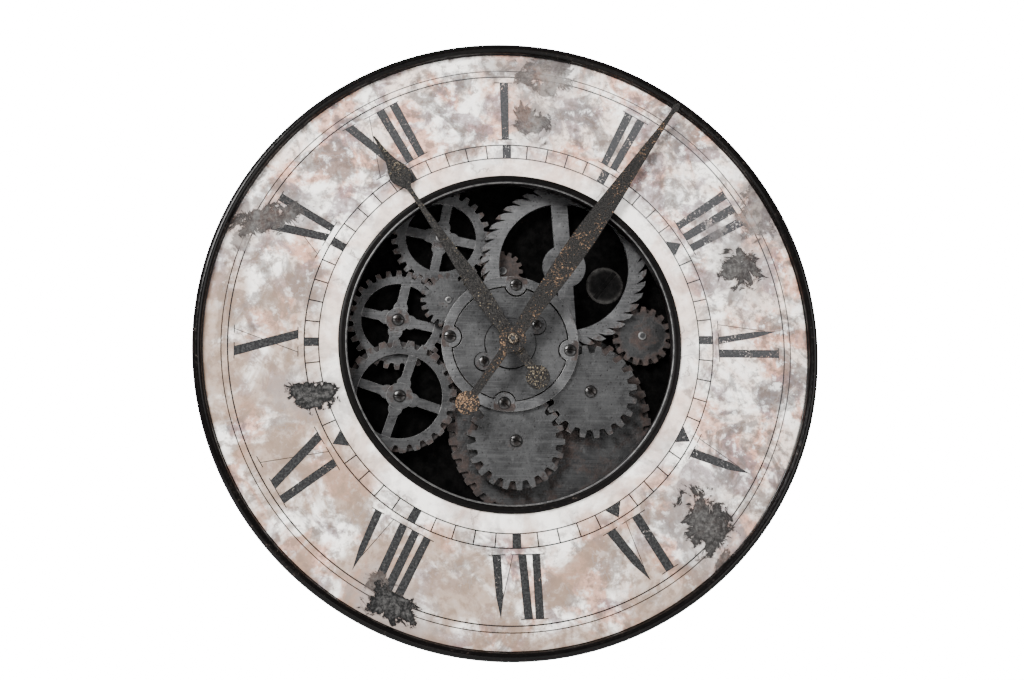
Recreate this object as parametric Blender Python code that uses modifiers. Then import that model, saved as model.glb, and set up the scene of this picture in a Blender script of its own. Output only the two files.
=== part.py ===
"""Round wall clock with an open centre that shows its wheels.

Every piece is drawn face on, x to the right, y up and z towards the person who
reads the clock, in metres from the middle of the dial's front face. One empty,
clock_axis, stands the whole drawing up: its front faces -Y, and the hook on the
wall, at the world's origin, holds it by the keyhole in the hanger plate.
"""

import math

import bpy

# ---- driving dimensions, in metres and degrees -------------------------------
WALL_TO_DIAL = 0.058
HANG_DROP = 0.270
GAP = 0.0003

CASE_R = 0.3045
CASE_WALL = 0.0012
CASE_FRONT = 0.008
CASE_BEAD_IN_R = 0.2955
CASE_SIGHT_R = 0.2945
CASE_FLANGE_R = 0.284
CASE_BACK = -0.0565
DIAL_R = 0.2985
DIAL_T = 0.005
OPENING_R = 0.1585
BEZEL_R = 0.1675
BEZEL_PROUD = 0.0034
DRUM_R = 0.205
DRUM_WALL = 0.0012
BACK_PLATE_FRONT = -0.0358
BACK_PLATE_T = 0.0015

# Layers of the wheel work: (front face, back face).
LAYER_FRONT = (-0.0160, -0.0205)
LAYER_SAW = (-0.0215, -0.0255)
LAYER_REAR = (-0.0265, -0.0310)
LAYER_BASE = (-0.0320, -0.0355)

PLATE_FRONT = -0.0120
PLATE_T = 0.0025
RING_R = 0.0675
RING_IN_R = 0.0580
RING_SCREW_R = 0.0595
RING_SCREW_TURN = 5.5
COVER_R = 0.0248
COVER_SCREW_R = 0.0320
COVER_SCREW_TURN = 54.5

SHAFT_R = 0.0020
PIPE_R = 0.0034
PIPE_IN_R = 0.0024
TUBE_R = 0.0050
TUBE_IN_R = 0.0038
RUN = 0.0003

HOUR_ANGLE = -34.3
HOUR_BACK = 0.0058
MINUTE_ANGLE = 34.4
MINUTE_BACK = 0.0090
HAND_T = 0.0016
HAND_HUB_R = 0.0131

MOVEMENT_SIDE = 0.056
MOVEMENT_FRONT = -0.0376
MOVEMENT_SPLIT = -0.0450
MOVEMENT_BACK = -0.0555
MOVEMENT_WALL = 0.0016
KNOB_AT = (0.0, -0.0180)
KNOB_R = 0.0075
CELL_AT_Y = 0.0180
CELL_R = 0.0070
CELL_LENGTH = 0.0490

# Wheels: place, teeth, tip and root radius, layer, turn of one tooth from upright,
# bore, and for a spoked wheel the hub, the window's outer radius, the spoke and its turn.
WHEELS = {
    "upper_wheel": dict(at=(-0.0682, 0.1093), teeth=28, tip=0.04985, root=0.0436, layer=LAYER_REAR,
                        turn=206.1 + 180 / 28, bore=0.0043, hub=0.0116, window=0.0352, spoke=0.0092, spoke_turn=10.5),
    "middle_wheel": dict(at=(-0.1098, 0.0244), teeth=28, tip=0.04985, root=0.0436, layer=LAYER_REAR,
                         turn=26.1, bore=0.0043, hub=0.0125, window=0.0362, spoke=0.0090, spoke_turn=12.0),
    "lower_wheel": dict(at=(-0.1072, -0.0524), teeth=24, tip=0.0556, root=0.0483, layer=LAYER_SAW,
                        turn=146.0, bore=0.0043, hub=0.0145, window=0.0416, spoke=0.0088, spoke_turn=18.0),
    "left_pinion": dict(at=(-0.0609, 0.0431), teeth=20, tip=0.0274, root=0.0216, layer=LAYER_FRONT,
                        turn=269.0, bore=0.0025),
    "right_pinion": dict(at=(0.1342, 0.0133), teeth=17, tip=0.0301, root=0.0240, layer=LAYER_REAR,
                         turn=194.6, bore=0.0033),
    "right_wheel": dict(at=(0.0798, -0.0458), teeth=20, tip=0.0462, root=0.0380, layer=LAYER_FRONT,
                        turn=245.1, bore=0.0043),
    "bottom_wheel": dict(at=(0.0061, -0.0954), teeth=21, tip=0.0480, root=0.0390, layer=LAYER_FRONT,
                         turn=56.1, bore=0.0043),
    "rear_pinion": dict(at=(-0.0058, 0.0780), teeth=16, tip=0.0205, root=0.0165, layer=LAYER_BASE,
                        turn=0.0, bore=0.0033),
}
BASE_WHEEL = dict(at=(0.0412, -0.0767), teeth=44, tip=0.1014, root=0.0934, layer=LAYER_BASE, turn=243.0)
SAW_WHEEL = dict(at=(0.0551, 0.0815), teeth=42, tip=0.0839, root=0.0747, window=0.0655, layer=LAYER_SAW,
                 turn=137.0, bore=0.0043, hub=0.0218, bar=0.0160, bar_turn=-3.7)
PILLARS = {"pillar_1": (-0.033, 0.024), "pillar_2": (-0.028, -0.033), "pillar_3": (0.028, -0.033)}
PILLAR_R = 0.004
SCREWED_WHEELS = ("middle_wheel", "lower_wheel", "right_wheel", "bottom_wheel")
ON_BASE_WHEEL = ("right_wheel", "bottom_wheel")
TOOTH_TIP_SHARE = 0.28
TOOTH_ROOT_SHARE = 0.58

# ---- scene, collections and materials ----------------------------------------
for old in list(bpy.data.objects):
    bpy.data.objects.remove(old, do_unlink=True)

PARTS = bpy.data.collections.new("skeleton_wall_clock")
CUTTERS = bpy.data.collections.new("cutters")
for group in (PARTS, CUTTERS):
    bpy.context.scene.collection.children.link(group)

AXIS = bpy.data.objects.new("clock_axis", None)
AXIS.location = (0.0, -WALL_TO_DIAL, -HANG_DROP)
AXIS.rotation_euler = (math.radians(90.0), 0.0, 0.0)
PARTS.objects.link(AXIS)

FINISHES = {
    "case_black": ((0.030, 0.024, 0.020), 0.42, 0.80),
    "dial_plaster": ((0.80, 0.75, 0.70), 0.75, 0.0),
    "gun_metal": ((0.22, 0.22, 0.22), 0.45, 0.85),
    "dark_steel": ((0.12, 0.12, 0.12), 0.50, 0.85),
    "rusty_steel": ((0.20, 0.11, 0.08), 0.75, 0.45),
    "hand_black": ((0.05, 0.045, 0.04), 0.60, 0.60),
    "brass": ((0.55, 0.42, 0.24), 0.45, 0.90),
    "cast_back": ((0.035, 0.035, 0.035), 0.85, 0.30),
    "black_plastic": ((0.03, 0.03, 0.03), 0.55, 0.0),
    "rubber": ((0.04, 0.04, 0.04), 0.85, 0.0),
    "cell_jacket": ((0.12, 0.20, 0.16), 0.35, 0.30),
}


def material_of(name):
    """The Principled material of one finish, made once."""
    found = bpy.data.materials.get(name)
    if found:
        return found
    colour, rough, metal = FINISHES[name]
    made = bpy.data.materials.new(name)
    made.use_nodes = True
    shader = made.node_tree.nodes["Principled BSDF"]
    shader.inputs["Base Color"].default_value = (*colour, 1.0)
    shader.inputs["Roughness"].default_value = rough
    shader.inputs["Metallic"].default_value = metal
    made.diffuse_color = (*colour, 1.0)
    return made


def place(thing, finish, at=(0.0, 0.0)):
    """Put an object among the parts, on the clock's axis, with its finish."""
    thing.data.materials.append(material_of(finish))
    thing.location = (at[0], at[1], 0.0)
    thing.parent = AXIS
    PARTS.objects.link(thing)
    return thing


# ---- shapes --------------------------------------------------------------------
def polar(radius, degrees):
    """A point at this radius, with the angle counted clockwise from upright."""
    angle = math.radians(degrees)
    return (radius * math.sin(angle), radius * math.cos(angle))


def circle(radius, count=16, at=(0.0, 0.0)):
    ring = [polar(radius, 360.0 * i / count) for i in range(count)]
    return [(x + at[0], y + at[1]) for x, y in ring]


def arc(radius, start, end, count, at=(0.0, 0.0)):
    """Points on an arc, both ends included."""
    found = [polar(radius, start + (end - start) * i / (count - 1)) for i in range(count)]
    return [(x + at[0], y + at[1]) for x, y in found]


def turned(name, finish, profile, at=(0.0, 0.0), steps=24):
    """A body turned about z from a profile of (radius, z), closed unless it meets the axis."""
    solid = profile[0][0] == 0.0
    area = sum(a[0] * b[1] - b[0] * a[1] for a, b in zip(profile, profile[1:] + profile[:1]))
    points = profile if area < 0.0 else profile[::-1]
    count = len(points)
    edges = [(i, i + 1) for i in range(count - 1)]
    if not solid:
        edges.append((count - 1, 0))
    mesh = bpy.data.meshes.new(name)
    mesh.from_pydata([(r, 0.0, z) for r, z in points], edges, [])
    thing = bpy.data.objects.new(name, mesh)
    screw = thing.modifiers.new("turn", "SCREW")
    screw.axis = "Z"
    screw.angle = math.radians(360.0)
    screw.steps = steps
    screw.render_steps = steps
    screw.use_merge_vertices = True
    screw.merge_threshold = 0.00001
    screw.use_smooth_shade = True
    return place(thing, finish, at)


def flat(name, finish, loops, front, back, at=(0.0, 0.0)):
    """A plate cut to an outline, the first loop, with holes, the other loops."""
    curve = bpy.data.curves.new(name, "CURVE")
    curve.dimensions = "2D"
    curve.fill_mode = "BOTH"
    curve.extrude = (front - back) / 2.0
    for loop in loops:
        spline = curve.splines.new("POLY")
        spline.points.add(len(loop) - 1)
        for point, (x, y) in zip(spline.points, loop):
            point.co = (x, y, 0.0, 1.0)
        spline.use_cyclic_u = True
    thing = place(bpy.data.objects.new(name, curve), finish, at)
    thing.location.z = (front + back) / 2.0
    return thing


def block_cutter(name, size, centre, turn=0.0):
    """A box that cuts and isn't part of the clock; turn is clockwise, in degrees."""
    bpy.ops.mesh.primitive_cube_add(size=1.0)
    cutter = bpy.context.active_object
    cutter.name = name
    cutter.scale = size
    cutter.location = centre
    cutter.rotation_euler = (0.0, 0.0, math.radians(-turn))
    cutter.parent = AXIS
    for group in list(cutter.users_collection):
        group.objects.unlink(cutter)
    CUTTERS.objects.link(cutter)
    cutter.hide_render = True
    cutter.display_type = "WIRE"
    return cutter


def cut(thing, cutter):
    boolean = thing.modifiers.new("cut", "BOOLEAN")
    boolean.operation = "DIFFERENCE"
    boolean.object = cutter


def toothed(teeth, tip, root, turn, tip_share=TOOTH_TIP_SHARE, root_share=TOOTH_ROOT_SHARE):
    """The outline of a wheel with straight-sided teeth; one tooth stands at turn."""
    pitch = 360.0 / teeth
    outline = []
    for tooth in range(teeth):
        middle = turn + tooth * pitch
        outline.append(polar(root, middle - pitch * root_share / 2.0))
        outline.append(polar(tip, middle - pitch * tip_share / 2.0))
        outline.append(polar(tip, middle + pitch * tip_share / 2.0))
        outline.append(polar(root, middle + pitch * root_share / 2.0))
    return outline


def saw_toothed(teeth, tip, root, turn):
    """The outline of a wheel whose hooked teeth lean against the clock's turn."""
    pitch = 360.0 / teeth
    depth = tip - root
    hook = ((0.00, 0.00), (-0.26, 0.52), (-0.46, 1.00), (-0.06, 0.97), (0.42, 0.62), (0.74, 0.24))
    outline = []
    for tooth in range(teeth):
        for share, height in hook:
            outline.append(polar(root + depth * height, turn + (tooth + share) * pitch))
    return outline


def spoke_windows(hub, window, spoke, turn, arms=4):
    """The openings between a wheel's arms."""
    half_out = math.degrees(math.asin(spoke / 2.0 / window))
    half_in = math.degrees(math.asin(spoke / 2.0 / hub))
    step = 360.0 / arms
    windows = []
    for arm in range(arms):
        start = turn + arm * step
        outer = arc(window, start + half_out, start + step - half_out, 8)
        inner = arc(hub, start + step - half_in, start + half_in, 4)
        windows.append(outer + inner)
    return windows


def slotted_screw(name, at, seat, head_r, head_h, shank_r, shank, slot_turn, finish="dark_steel"):
    """A cheese-head screw on a seat at height z, with its shank below and a slot across the head."""
    top = seat + head_h
    edge = head_r * 0.14
    profile = [(0.0, top), (head_r - edge, top), (head_r, top - edge), (head_r, seat), (shank_r, seat),
               (shank_r, seat - shank), (0.0, seat - shank)]
    thing = turned(name, finish, profile, at, steps=12)
    slot = (head_r * 3.0, head_r * 0.26, head_h)
    cut(thing, block_cutter(name + "_slot", slot, (at[0], at[1], top + head_h * 0.05), slot_turn))
    return thing


# ---- case, dial and the drum behind it ------------------------------------------
def rim_ring():
    bead_r = (CASE_R - CASE_BEAD_IN_R) / 2.0
    bead_mid = (CASE_R + CASE_BEAD_IN_R) / 2.0
    bead = [(bead_mid + bead_r * math.cos(a), CASE_FRONT - bead_r + bead_r * math.sin(a))
            for a in (0.0, math.pi / 4, math.pi / 2, 3 * math.pi / 4, math.pi)]
    inner = [(CASE_SIGHT_R + 0.0006, 0.0024), (CASE_SIGHT_R, 0.0018), (CASE_SIGHT_R, GAP), (DIAL_R + GAP, GAP),
             (DIAL_R + GAP, -0.0020), (CASE_R - CASE_WALL, -0.0035)]
    rear = [(CASE_R - CASE_WALL, CASE_BACK + CASE_WALL), (CASE_FLANGE_R, CASE_BACK + CASE_WALL),
            (CASE_FLANGE_R, CASE_BACK), (CASE_R, CASE_BACK)]
    turned("rim_ring", "case_black", bead + inner + rear, steps=64)


def dial_plate():
    hole = OPENING_R + 0.0016
    profile = [(hole, 0.0), (DIAL_R, 0.0), (DIAL_R, -DIAL_T), (hole, -DIAL_T)]
    turned("dial_plate", "dial_plaster", profile, steps=64)


def opening_bezel():
    skirt = OPENING_R + 0.0013
    profile = [(BEZEL_R, GAP), (BEZEL_R - 0.0006, 0.0024), (BEZEL_R - 0.0028, BEZEL_PROUD),
               (OPENING_R + 0.0006, BEZEL_PROUD - 0.0004), (OPENING_R, BEZEL_PROUD - 0.0018),
               (OPENING_R, -0.0080), (skirt, -0.0080), (skirt, GAP)]
    turned("opening_bezel", "case_black", profile, steps=48)


def drum_wall():
    out = DRUM_R + DRUM_WALL
    lip = BACK_PLATE_FRONT - BACK_PLATE_T - GAP
    profile = [(0.220, -DIAL_T - GAP), (0.220, -DIAL_T - GAP - DRUM_WALL), (out, -DIAL_T - GAP - DRUM_WALL),
               (out, lip - DRUM_WALL), (0.196, lip - DRUM_WALL), (0.196, lip), (DRUM_R, lip),
               (DRUM_R, -DIAL_T - GAP)]
    turned("drum_wall", "case_black", profile, steps=40)


def back_plate():
    hole = TUBE_R + RUN
    front, back = BACK_PLATE_FRONT, BACK_PLATE_FRONT - BACK_PLATE_T
    turned("back_plate", "cast_back", [(hole, front), (DRUM_R - GAP, front), (DRUM_R - GAP, back), (hole, back)],
           steps=40)
    slotted_screw("back_plate_screw", (0.0983, 0.0661), front + GAP, 0.0191, 0.0028, 0.0040, 0.0001, 128.0,
                  "cast_back")


def dial_clips():
    """Four angle clips hold the dial's edge against the lip of the case."""
    inner = CASE_R - CASE_WALL - 4.0 * GAP
    low, high = -DIAL_T - GAP - 0.0018, -DIAL_T - GAP
    outline = [(inner, high), (inner, -0.022), (inner - 0.0018, -0.022), (inner - 0.0018, low),
               (inner - 0.013, low), (inner - 0.013, high)]
    for index, turn in enumerate((45.0, 135.0, 225.0, 315.0), 1):
        name = "dial_clip_%d" % index
        clip = flat(name, "dark_steel", [outline], 0.008, -0.008)
        clip.location.z = 0.0
        clip.rotation_euler = (math.radians(90.0), 0.0, math.radians(90.0 - turn))


def hanger_and_bumpers():
    """The keyhole plate at the top of the case's back flange, and two pads low on it."""
    front, back = CASE_BACK - GAP, -WALL_TO_DIAL
    plate = [(-0.045, 0.248), (0.045, 0.248), (0.045, 0.2885), (-0.045, 0.2885)]
    keyhole = arc(0.0022, -90.0, 90.0, 5, at=(0.0, HANG_DROP)) + arc(0.0050, 26.0, 334.0, 11, at=(0.0, 0.2585))
    flat("hanger_plate", "dark_steel", [plate, keyhole], front, back)
    for name, turn in (("bumper_left", 212.0), ("bumper_right", 148.0)):
        profile = [(0.0, front), (0.0062, front), (0.0062, back), (0.0, back)]
        turned(name, "rubber", profile, polar(0.2915, turn), steps=16)


# ---- wheel work -------------------------------------------------------------------
def wheel(name, finish, spec):
    front, back = spec["layer"]
    loops = [toothed(spec["teeth"], spec["tip"], spec["root"], spec["turn"]), circle(spec["bore"], 12)]
    if "spoke" in spec:
        loops += spoke_windows(spec["hub"], spec["window"], spec["spoke"], spec["spoke_turn"])
    flat(name, finish, loops, front, back, spec["at"])


def saw_wheel():
    spec = SAW_WHEEL
    front, back = spec["layer"]
    loops = [saw_toothed(spec["teeth"], spec["tip"], spec["root"], spec["turn"]), circle(spec["bore"], 12)]
    half_out = math.degrees(math.asin(spec["bar"] / 2.0 / spec["window"]))
    half_in = math.degrees(math.asin(spec["bar"] / 2.0 / spec["hub"]))
    for start in (spec["bar_turn"], spec["bar_turn"] + 180.0):
        outer = arc(spec["window"], start + half_out, start + 180.0 - half_out, 20)
        inner = arc(spec["hub"], start + 180.0 - half_in, start + half_in, 8)
        loops.append(outer + inner)
    flat("saw_wheel", "gun_metal", loops, front, back, spec["at"])


def base_wheel():
    """The big fixed wheel: its studs and two pillars stand on it, and the arbors pass through it."""
    spec = BASE_WHEEL
    front, back = spec["layer"]
    x, y = spec["at"]
    loops = [toothed(spec["teeth"], spec["tip"], spec["root"], spec["turn"]), circle(TUBE_R + RUN, 16, at=(-x, -y))]
    flat("base_wheel", "rusty_steel", loops, front, back, spec["at"])


def stud(name, spec, floor, screwed):
    """A stepped stud that a wheel turns on, tapped for a screw or riveted over at its end."""
    front, back = spec["layer"]
    journal = spec["bore"] - RUN
    shoulder = journal + 0.0024
    step = back - RUN
    end = floor + GAP
    top = front + RUN
    if step > end + 0.0005 and name != "left_pinion_stud":
        foot = [(journal, step), (shoulder, step), (shoulder, end), (0.0, end)]
    else:
        foot = [(journal, end), (0.0, end)]
    if screwed:
        tap = 0.0018
        depth = top - 0.0085
        turned(name, "dark_steel", [(0.0, depth), (tap, depth), (tap, top), (journal, top)] + foot, spec["at"], 12)
        return
    head = journal + 0.0012
    crown = top + 0.0012
    rivet = [(0.0, crown), (head * 0.7, crown), (head, top), (journal, top)]
    turned(name, "dark_steel", rivet + foot, spec["at"], 12)


def wheel_work():
    finishes = {"rear_pinion": "rusty_steel", "right_pinion": "rusty_steel"}
    for name, spec in WHEELS.items():
        wheel(name, finishes.get(name, "gun_metal"), spec)
        screwed = name in SCREWED_WHEELS
        floor = LAYER_BASE[0] if name in ON_BASE_WHEEL else BACK_PLATE_FRONT
        stud(name + "_stud", spec, floor, screwed)
        if screwed:
            seat = spec["layer"][0] + 2.0 * RUN
            turn = {"middle_wheel": 0.0, "lower_wheel": 0.0, "right_wheel": 42.0, "bottom_wheel": 20.0}[name]
            slotted_screw(name + "_screw", spec["at"], seat, 0.0062, 0.0020, 0.0015, 0.0075, turn)
    saw_wheel()
    stud("saw_wheel_stud", SAW_WHEEL, BACK_PLATE_FRONT, False)
    base_wheel()


# ---- centre plate ---------------------------------------------------------------
def lug_outline(radius, boss, boss_at, turns, inward, per_gap=10):
    """A circle of this radius joined with round lugs centred at boss_at."""
    reach = math.degrees(math.acos((radius**2 + boss_at**2 - boss**2) / (2 * radius * boss_at)))
    outline = []
    for index, turn in enumerate(turns):
        after = turns[(index + 1) % len(turns)] + (360.0 if index + 1 == len(turns) else 0.0)
        centre = polar(boss_at, turn)
        side = polar(radius, turn + reach)
        local = math.degrees(math.atan2(side[0] - centre[0], side[1] - centre[1])) - turn
        local = (local + 180.0) % 360.0 - 180.0
        if inward:
            sweep = 360.0 - abs(local)
            outline += arc(boss, turn - local, turn - local - 2.0 * (180.0 - abs(local)), 7, at=centre)
        else:
            outline += arc(boss, turn - local, turn + local, 7, at=centre)
        outline += arc(radius, turn + reach, after - reach, per_gap)[1:-1]
    return outline


def centre_plate():
    ring_turns = [RING_SCREW_TURN + 90.0 * i for i in range(4)]
    cover_turns = [COVER_SCREW_TURN, COVER_SCREW_TURN + 180.0]
    back = PLATE_FRONT - PLATE_T
    lug = 0.0105
    inner = lug_outline(RING_IN_R, lug, RING_SCREW_R, ring_turns, True)
    disc = lug_outline(RING_IN_R - 0.0008, lug + 0.0008, RING_SCREW_R, ring_turns, True)
    holes = [circle(0.0024, 8, at=polar(RING_SCREW_R, turn)) for turn in ring_turns]
    flat("centre_ring", "gun_metal", [circle(RING_R, 48), inner] + holes, PLATE_FRONT, back)
    cover_holes = [circle(0.0020, 8, at=polar(COVER_SCREW_R, turn)) for turn in cover_turns]
    flat("centre_disc", "gun_metal", [disc, circle(TUBE_R + RUN, 16)] + cover_holes, PLATE_FRONT - 0.0004, back)
    cover = lug_outline(COVER_R, 0.0088, COVER_SCREW_R, cover_turns, False)
    cover_front = PLATE_FRONT + 0.0016
    flat("centre_cover", "gun_metal", [cover, circle(TUBE_R + RUN, 16)] + cover_holes, cover_front,
         PLATE_FRONT - 0.0004 + GAP)
    for index, turn in enumerate(ring_turns, 1):
        slotted_screw("ring_screw_%d" % index, polar(RING_SCREW_R, turn), PLATE_FRONT + GAP, 0.0062, 0.0018,
                      0.0020, 0.0040, 0.0 if index != 3 else 40.0)
    for index, turn in enumerate(cover_turns, 1):
        slotted_screw("cover_screw_%d" % index, polar(COVER_SCREW_R, turn), cover_front + GAP, 0.0052, 0.0016,
                      0.0016, 0.0040, 40.0 * index)
    for name, at in PILLARS.items():
        floor = BACK_PLATE_FRONT if name == "pillar_1" else LAYER_BASE[0]
        profile = [(0.0, back - GAP), (PILLAR_R, back - GAP), (PILLAR_R, floor + GAP), (0.0, floor + GAP)]
        turned(name, "dark_steel", profile, at, steps=12)


# ---- hands ------------------------------------------------------------------------
def mirrored(half):
    """An outline about the y axis from the points of its right half, top to bottom."""
    return half + [(-x, y) for x, y in reversed(half) if x > 0.0]


def hand(name, half, angle, back, bore):
    finish = "hand_black"
    thing = flat(name, finish, [mirrored(half), circle(bore, 12)], back + HAND_T, back)
    thing.rotation_euler = (0.0, 0.0, math.radians(-angle))
    return thing


def hub_arc(blade_half, tail_half):
    """The hub's side between the blade and the tail."""
    start = math.degrees(math.asin(blade_half / HAND_HUB_R))
    end = 180.0 - math.degrees(math.asin(tail_half / HAND_HUB_R))
    return arc(HAND_HUB_R, start, end, 6)


def tail(distance, radius, half_width):
    """A straight tail that ends in a round weight."""
    start = math.degrees(math.asin(half_width / radius))
    return arc(radius, start, 180.0, 9, at=(0.0, -distance))


def hands():
    minute_half = [(0.0, 0.2990), (0.0017, 0.2985), (0.0036, 0.2950), (0.0036, 0.2915), (0.0023, 0.2865),
                   (0.0030, 0.2650), (0.0062, 0.2150), (0.0098, 0.1600), (0.0113, 0.1200), (0.0104, 0.0800),
                   (0.0084, 0.0400)]
    minute_half += hub_arc(0.0064, 0.0040) + tail(0.0765, 0.0116, 0.0040)
    hand("minute_hand", minute_half, MINUTE_ANGLE, MINUTE_BACK, SHAFT_R + RUN)
    hour_half = [(0.0, 0.2440), (0.0013, 0.2400), (0.0024, 0.2250), (0.0052, 0.2120)]
    hour_half += arc(0.0106, 44.0, 156.0, 6, at=(0.0, 0.1945))
    hour_half += [(0.0025, 0.1760), (0.0026, 0.1560), (0.0050, 0.1150), (0.0083, 0.0640), (0.0078, 0.0360)]
    hour_half += hub_arc(0.0062, 0.0042) + tail(0.0440, 0.0117, 0.0042)
    hand("hour_hand", hour_half, HOUR_ANGLE, HOUR_BACK, PIPE_R + RUN)
    nut_back = MINUTE_BACK + HAND_T + GAP
    bore = SHAFT_R + RUN
    turned("hand_nut", "brass", [(bore, nut_back + 0.0026), (0.0042, nut_back + 0.0026),
                                 (0.0049, nut_back + 0.0019), (0.0049, nut_back), (bore, nut_back)], steps=16)
    end = MOVEMENT_SPLIT - 0.0010
    top = nut_back + 0.0032
    turned("minute_arbor", "dark_steel", [(0.0, top), (SHAFT_R, top), (SHAFT_R, end), (0.0, end)], steps=12)
    pipe_top = HOUR_BACK + HAND_T + 0.0012
    turned("hour_pipe", "brass", [(PIPE_IN_R, pipe_top), (PIPE_R, pipe_top), (PIPE_R, MOVEMENT_SPLIT + 0.0010),
                                  (PIPE_IN_R, MOVEMENT_SPLIT + 0.0010)], steps=16)
    tube_top = PLATE_FRONT + 0.0040
    tube_end = MOVEMENT_FRONT + GAP
    turned("centre_tube", "brass", [(TUBE_IN_R, tube_top), (TUBE_R, tube_top), (TUBE_R, tube_end),
                                    (TUBE_IN_R, tube_end)], steps=16)


# ---- movement ---------------------------------------------------------------------
def movement_case():
    """Two plastic trays, the front one with the arbors' hole, the rear one with the cell's bay."""
    half = MOVEMENT_SIDE / 2.0
    inside = MOVEMENT_SIDE - 2.0 * MOVEMENT_WALL
    for name, front, back in (("movement_front", MOVEMENT_FRONT, MOVEMENT_SPLIT + GAP),
                              ("movement_back", MOVEMENT_SPLIT, MOVEMENT_BACK)):
        bpy.ops.mesh.primitive_cube_add(size=1.0)
        box = bpy.context.active_object
        for group in list(box.users_collection):
            group.objects.unlink(box)
        box.name = name
        box.scale = (MOVEMENT_SIDE, MOVEMENT_SIDE, front - back)
        place(box, "black_plastic")
        box.location.z = (front + back) / 2.0
        depth = front - back
        shift = -MOVEMENT_WALL if name == "movement_front" else MOVEMENT_WALL
        cut(box, block_cutter(name + "_inside", (inside, inside, depth), (0.0, 0.0, (front + back) / 2.0 + shift)))
    front = bpy.data.objects["movement_front"]
    back = bpy.data.objects["movement_back"]
    cut(front, block_cutter("arbor_hole", (0.0080, 0.0080, 0.010), (0.0, 0.0, MOVEMENT_FRONT)))
    bay = (CELL_LENGTH + 0.0020, CELL_R * 2.0 + 0.0010, 0.010)
    cut(back, block_cutter("cell_bay", bay, (0.0, CELL_AT_Y, MOVEMENT_BACK)))
    knob_hole = (KNOB_R * 2.0 + 0.0012, KNOB_R * 2.0 + 0.0012, 0.010)
    cut(back, block_cutter("knob_hole", knob_hole, (KNOB_AT[0], KNOB_AT[1], MOVEMENT_BACK)))
    knob_top, knob_end = MOVEMENT_SPLIT - 0.0020, -WALL_TO_DIAL + 0.0008
    turned("setting_knob", "black_plastic", [(0.0, knob_top), (0.0020, knob_top), (0.0020, MOVEMENT_BACK + 0.0030),
                                             (KNOB_R, MOVEMENT_BACK + 0.0030), (KNOB_R, knob_end),
                                             (0.0, knob_end)], KNOB_AT, steps=16)
    cell = turned("battery_cell", "cell_jacket", [(0.0, CELL_LENGTH / 2.0), (0.0028, CELL_LENGTH / 2.0),
                                                  (0.0028, CELL_LENGTH / 2.0 - 0.0012),
                                                  (CELL_R, CELL_LENGTH / 2.0 - 0.0012),
                                                  (CELL_R, -CELL_LENGTH / 2.0), (0.0, -CELL_LENGTH / 2.0)],
                  (0.0, CELL_AT_Y), steps=16)
    cell.location.z = MOVEMENT_BACK + CELL_R + 0.0006
    cell.rotation_euler = (0.0, math.radians(90.0), 0.0)


rim_ring()
dial_plate()
opening_bezel()
drum_wall()
back_plate()
dial_clips()
hanger_and_bumpers()
wheel_work()
centre_plate()
hands()
movement_case()
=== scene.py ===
import math

import bpy
from mathutils import Matrix, Vector


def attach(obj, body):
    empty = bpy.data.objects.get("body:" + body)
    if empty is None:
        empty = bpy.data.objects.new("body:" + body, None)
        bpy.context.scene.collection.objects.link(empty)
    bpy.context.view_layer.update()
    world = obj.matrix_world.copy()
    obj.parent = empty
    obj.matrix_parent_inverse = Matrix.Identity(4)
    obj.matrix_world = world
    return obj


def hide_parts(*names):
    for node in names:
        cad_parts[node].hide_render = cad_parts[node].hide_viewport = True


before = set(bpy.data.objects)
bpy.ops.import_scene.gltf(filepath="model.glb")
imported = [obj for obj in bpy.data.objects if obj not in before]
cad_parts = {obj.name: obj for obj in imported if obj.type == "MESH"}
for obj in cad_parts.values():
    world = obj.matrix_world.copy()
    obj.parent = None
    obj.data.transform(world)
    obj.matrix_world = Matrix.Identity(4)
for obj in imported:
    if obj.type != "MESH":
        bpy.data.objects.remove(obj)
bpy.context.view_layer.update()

# Every piece is modelled face on: x right, y up, z out of the dial's face, and is then stood up.
WALL_TO_DIAL = 0.058
HANG_DROP = 0.270
STAND_UP = Matrix.Translation((0.0, -WALL_TO_DIAL, -HANG_DROP)) @ Matrix.Rotation(math.radians(90.0), 4, "X")
DIAL_TURN = -1.45
# The screws of the centre ring and of its cover: radius, first turn, and how many go round.
RING_SCREWS = (0.0595, 5.5, 4)
COVER_SCREWS = (0.0320, 54.5, 2)
RING_FRONT, RING_BACK = -0.0120, -0.0145
MINUTE_TURN, HOUR_TURN = 34.4, -34.3
# A face whose normal is this close to z lies flat, and is shaded flat.
LEVEL = 0.9995


# ---- hand tools ------------------------------------------------------------------
def clear_selection():
    if bpy.context.object and bpy.context.object.mode != "OBJECT":
        bpy.ops.object.mode_set(mode="OBJECT")
    bpy.ops.object.select_all(action="DESELECT")


def take(piece):
    """Select one piece alone."""
    clear_selection()
    piece.select_set(True)
    bpy.context.view_layer.objects.active = piece
    return piece


def polar(radius, degrees):
    """A point at this radius, with the angle counted clockwise from upright."""
    angle = math.radians(degrees)
    return radius * math.sin(angle), radius * math.cos(angle)


def places(radius, first, count):
    """Points spaced evenly round the clock's middle."""
    return [polar(radius, first + 360.0 / count * index) for index in range(count)]


def place_at(piece):
    take(piece)
    bpy.ops.object.transform_apply(location=True, rotation=True, scale=True)
    return piece


def pick(piece, test):
    """Select the points that pass a test on where they are, ready for edit mode."""
    take(piece)
    for edge in piece.data.edges:
        edge.select = False
    for face in piece.data.polygons:
        face.select = False
    for vertex in piece.data.vertices:
        vertex.select = bool(test(vertex.co))
    bpy.ops.object.mode_set(mode="EDIT")
    bpy.ops.mesh.select_mode(type="VERT")


def edit_done():
    bpy.ops.object.mode_set(mode="OBJECT")


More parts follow.
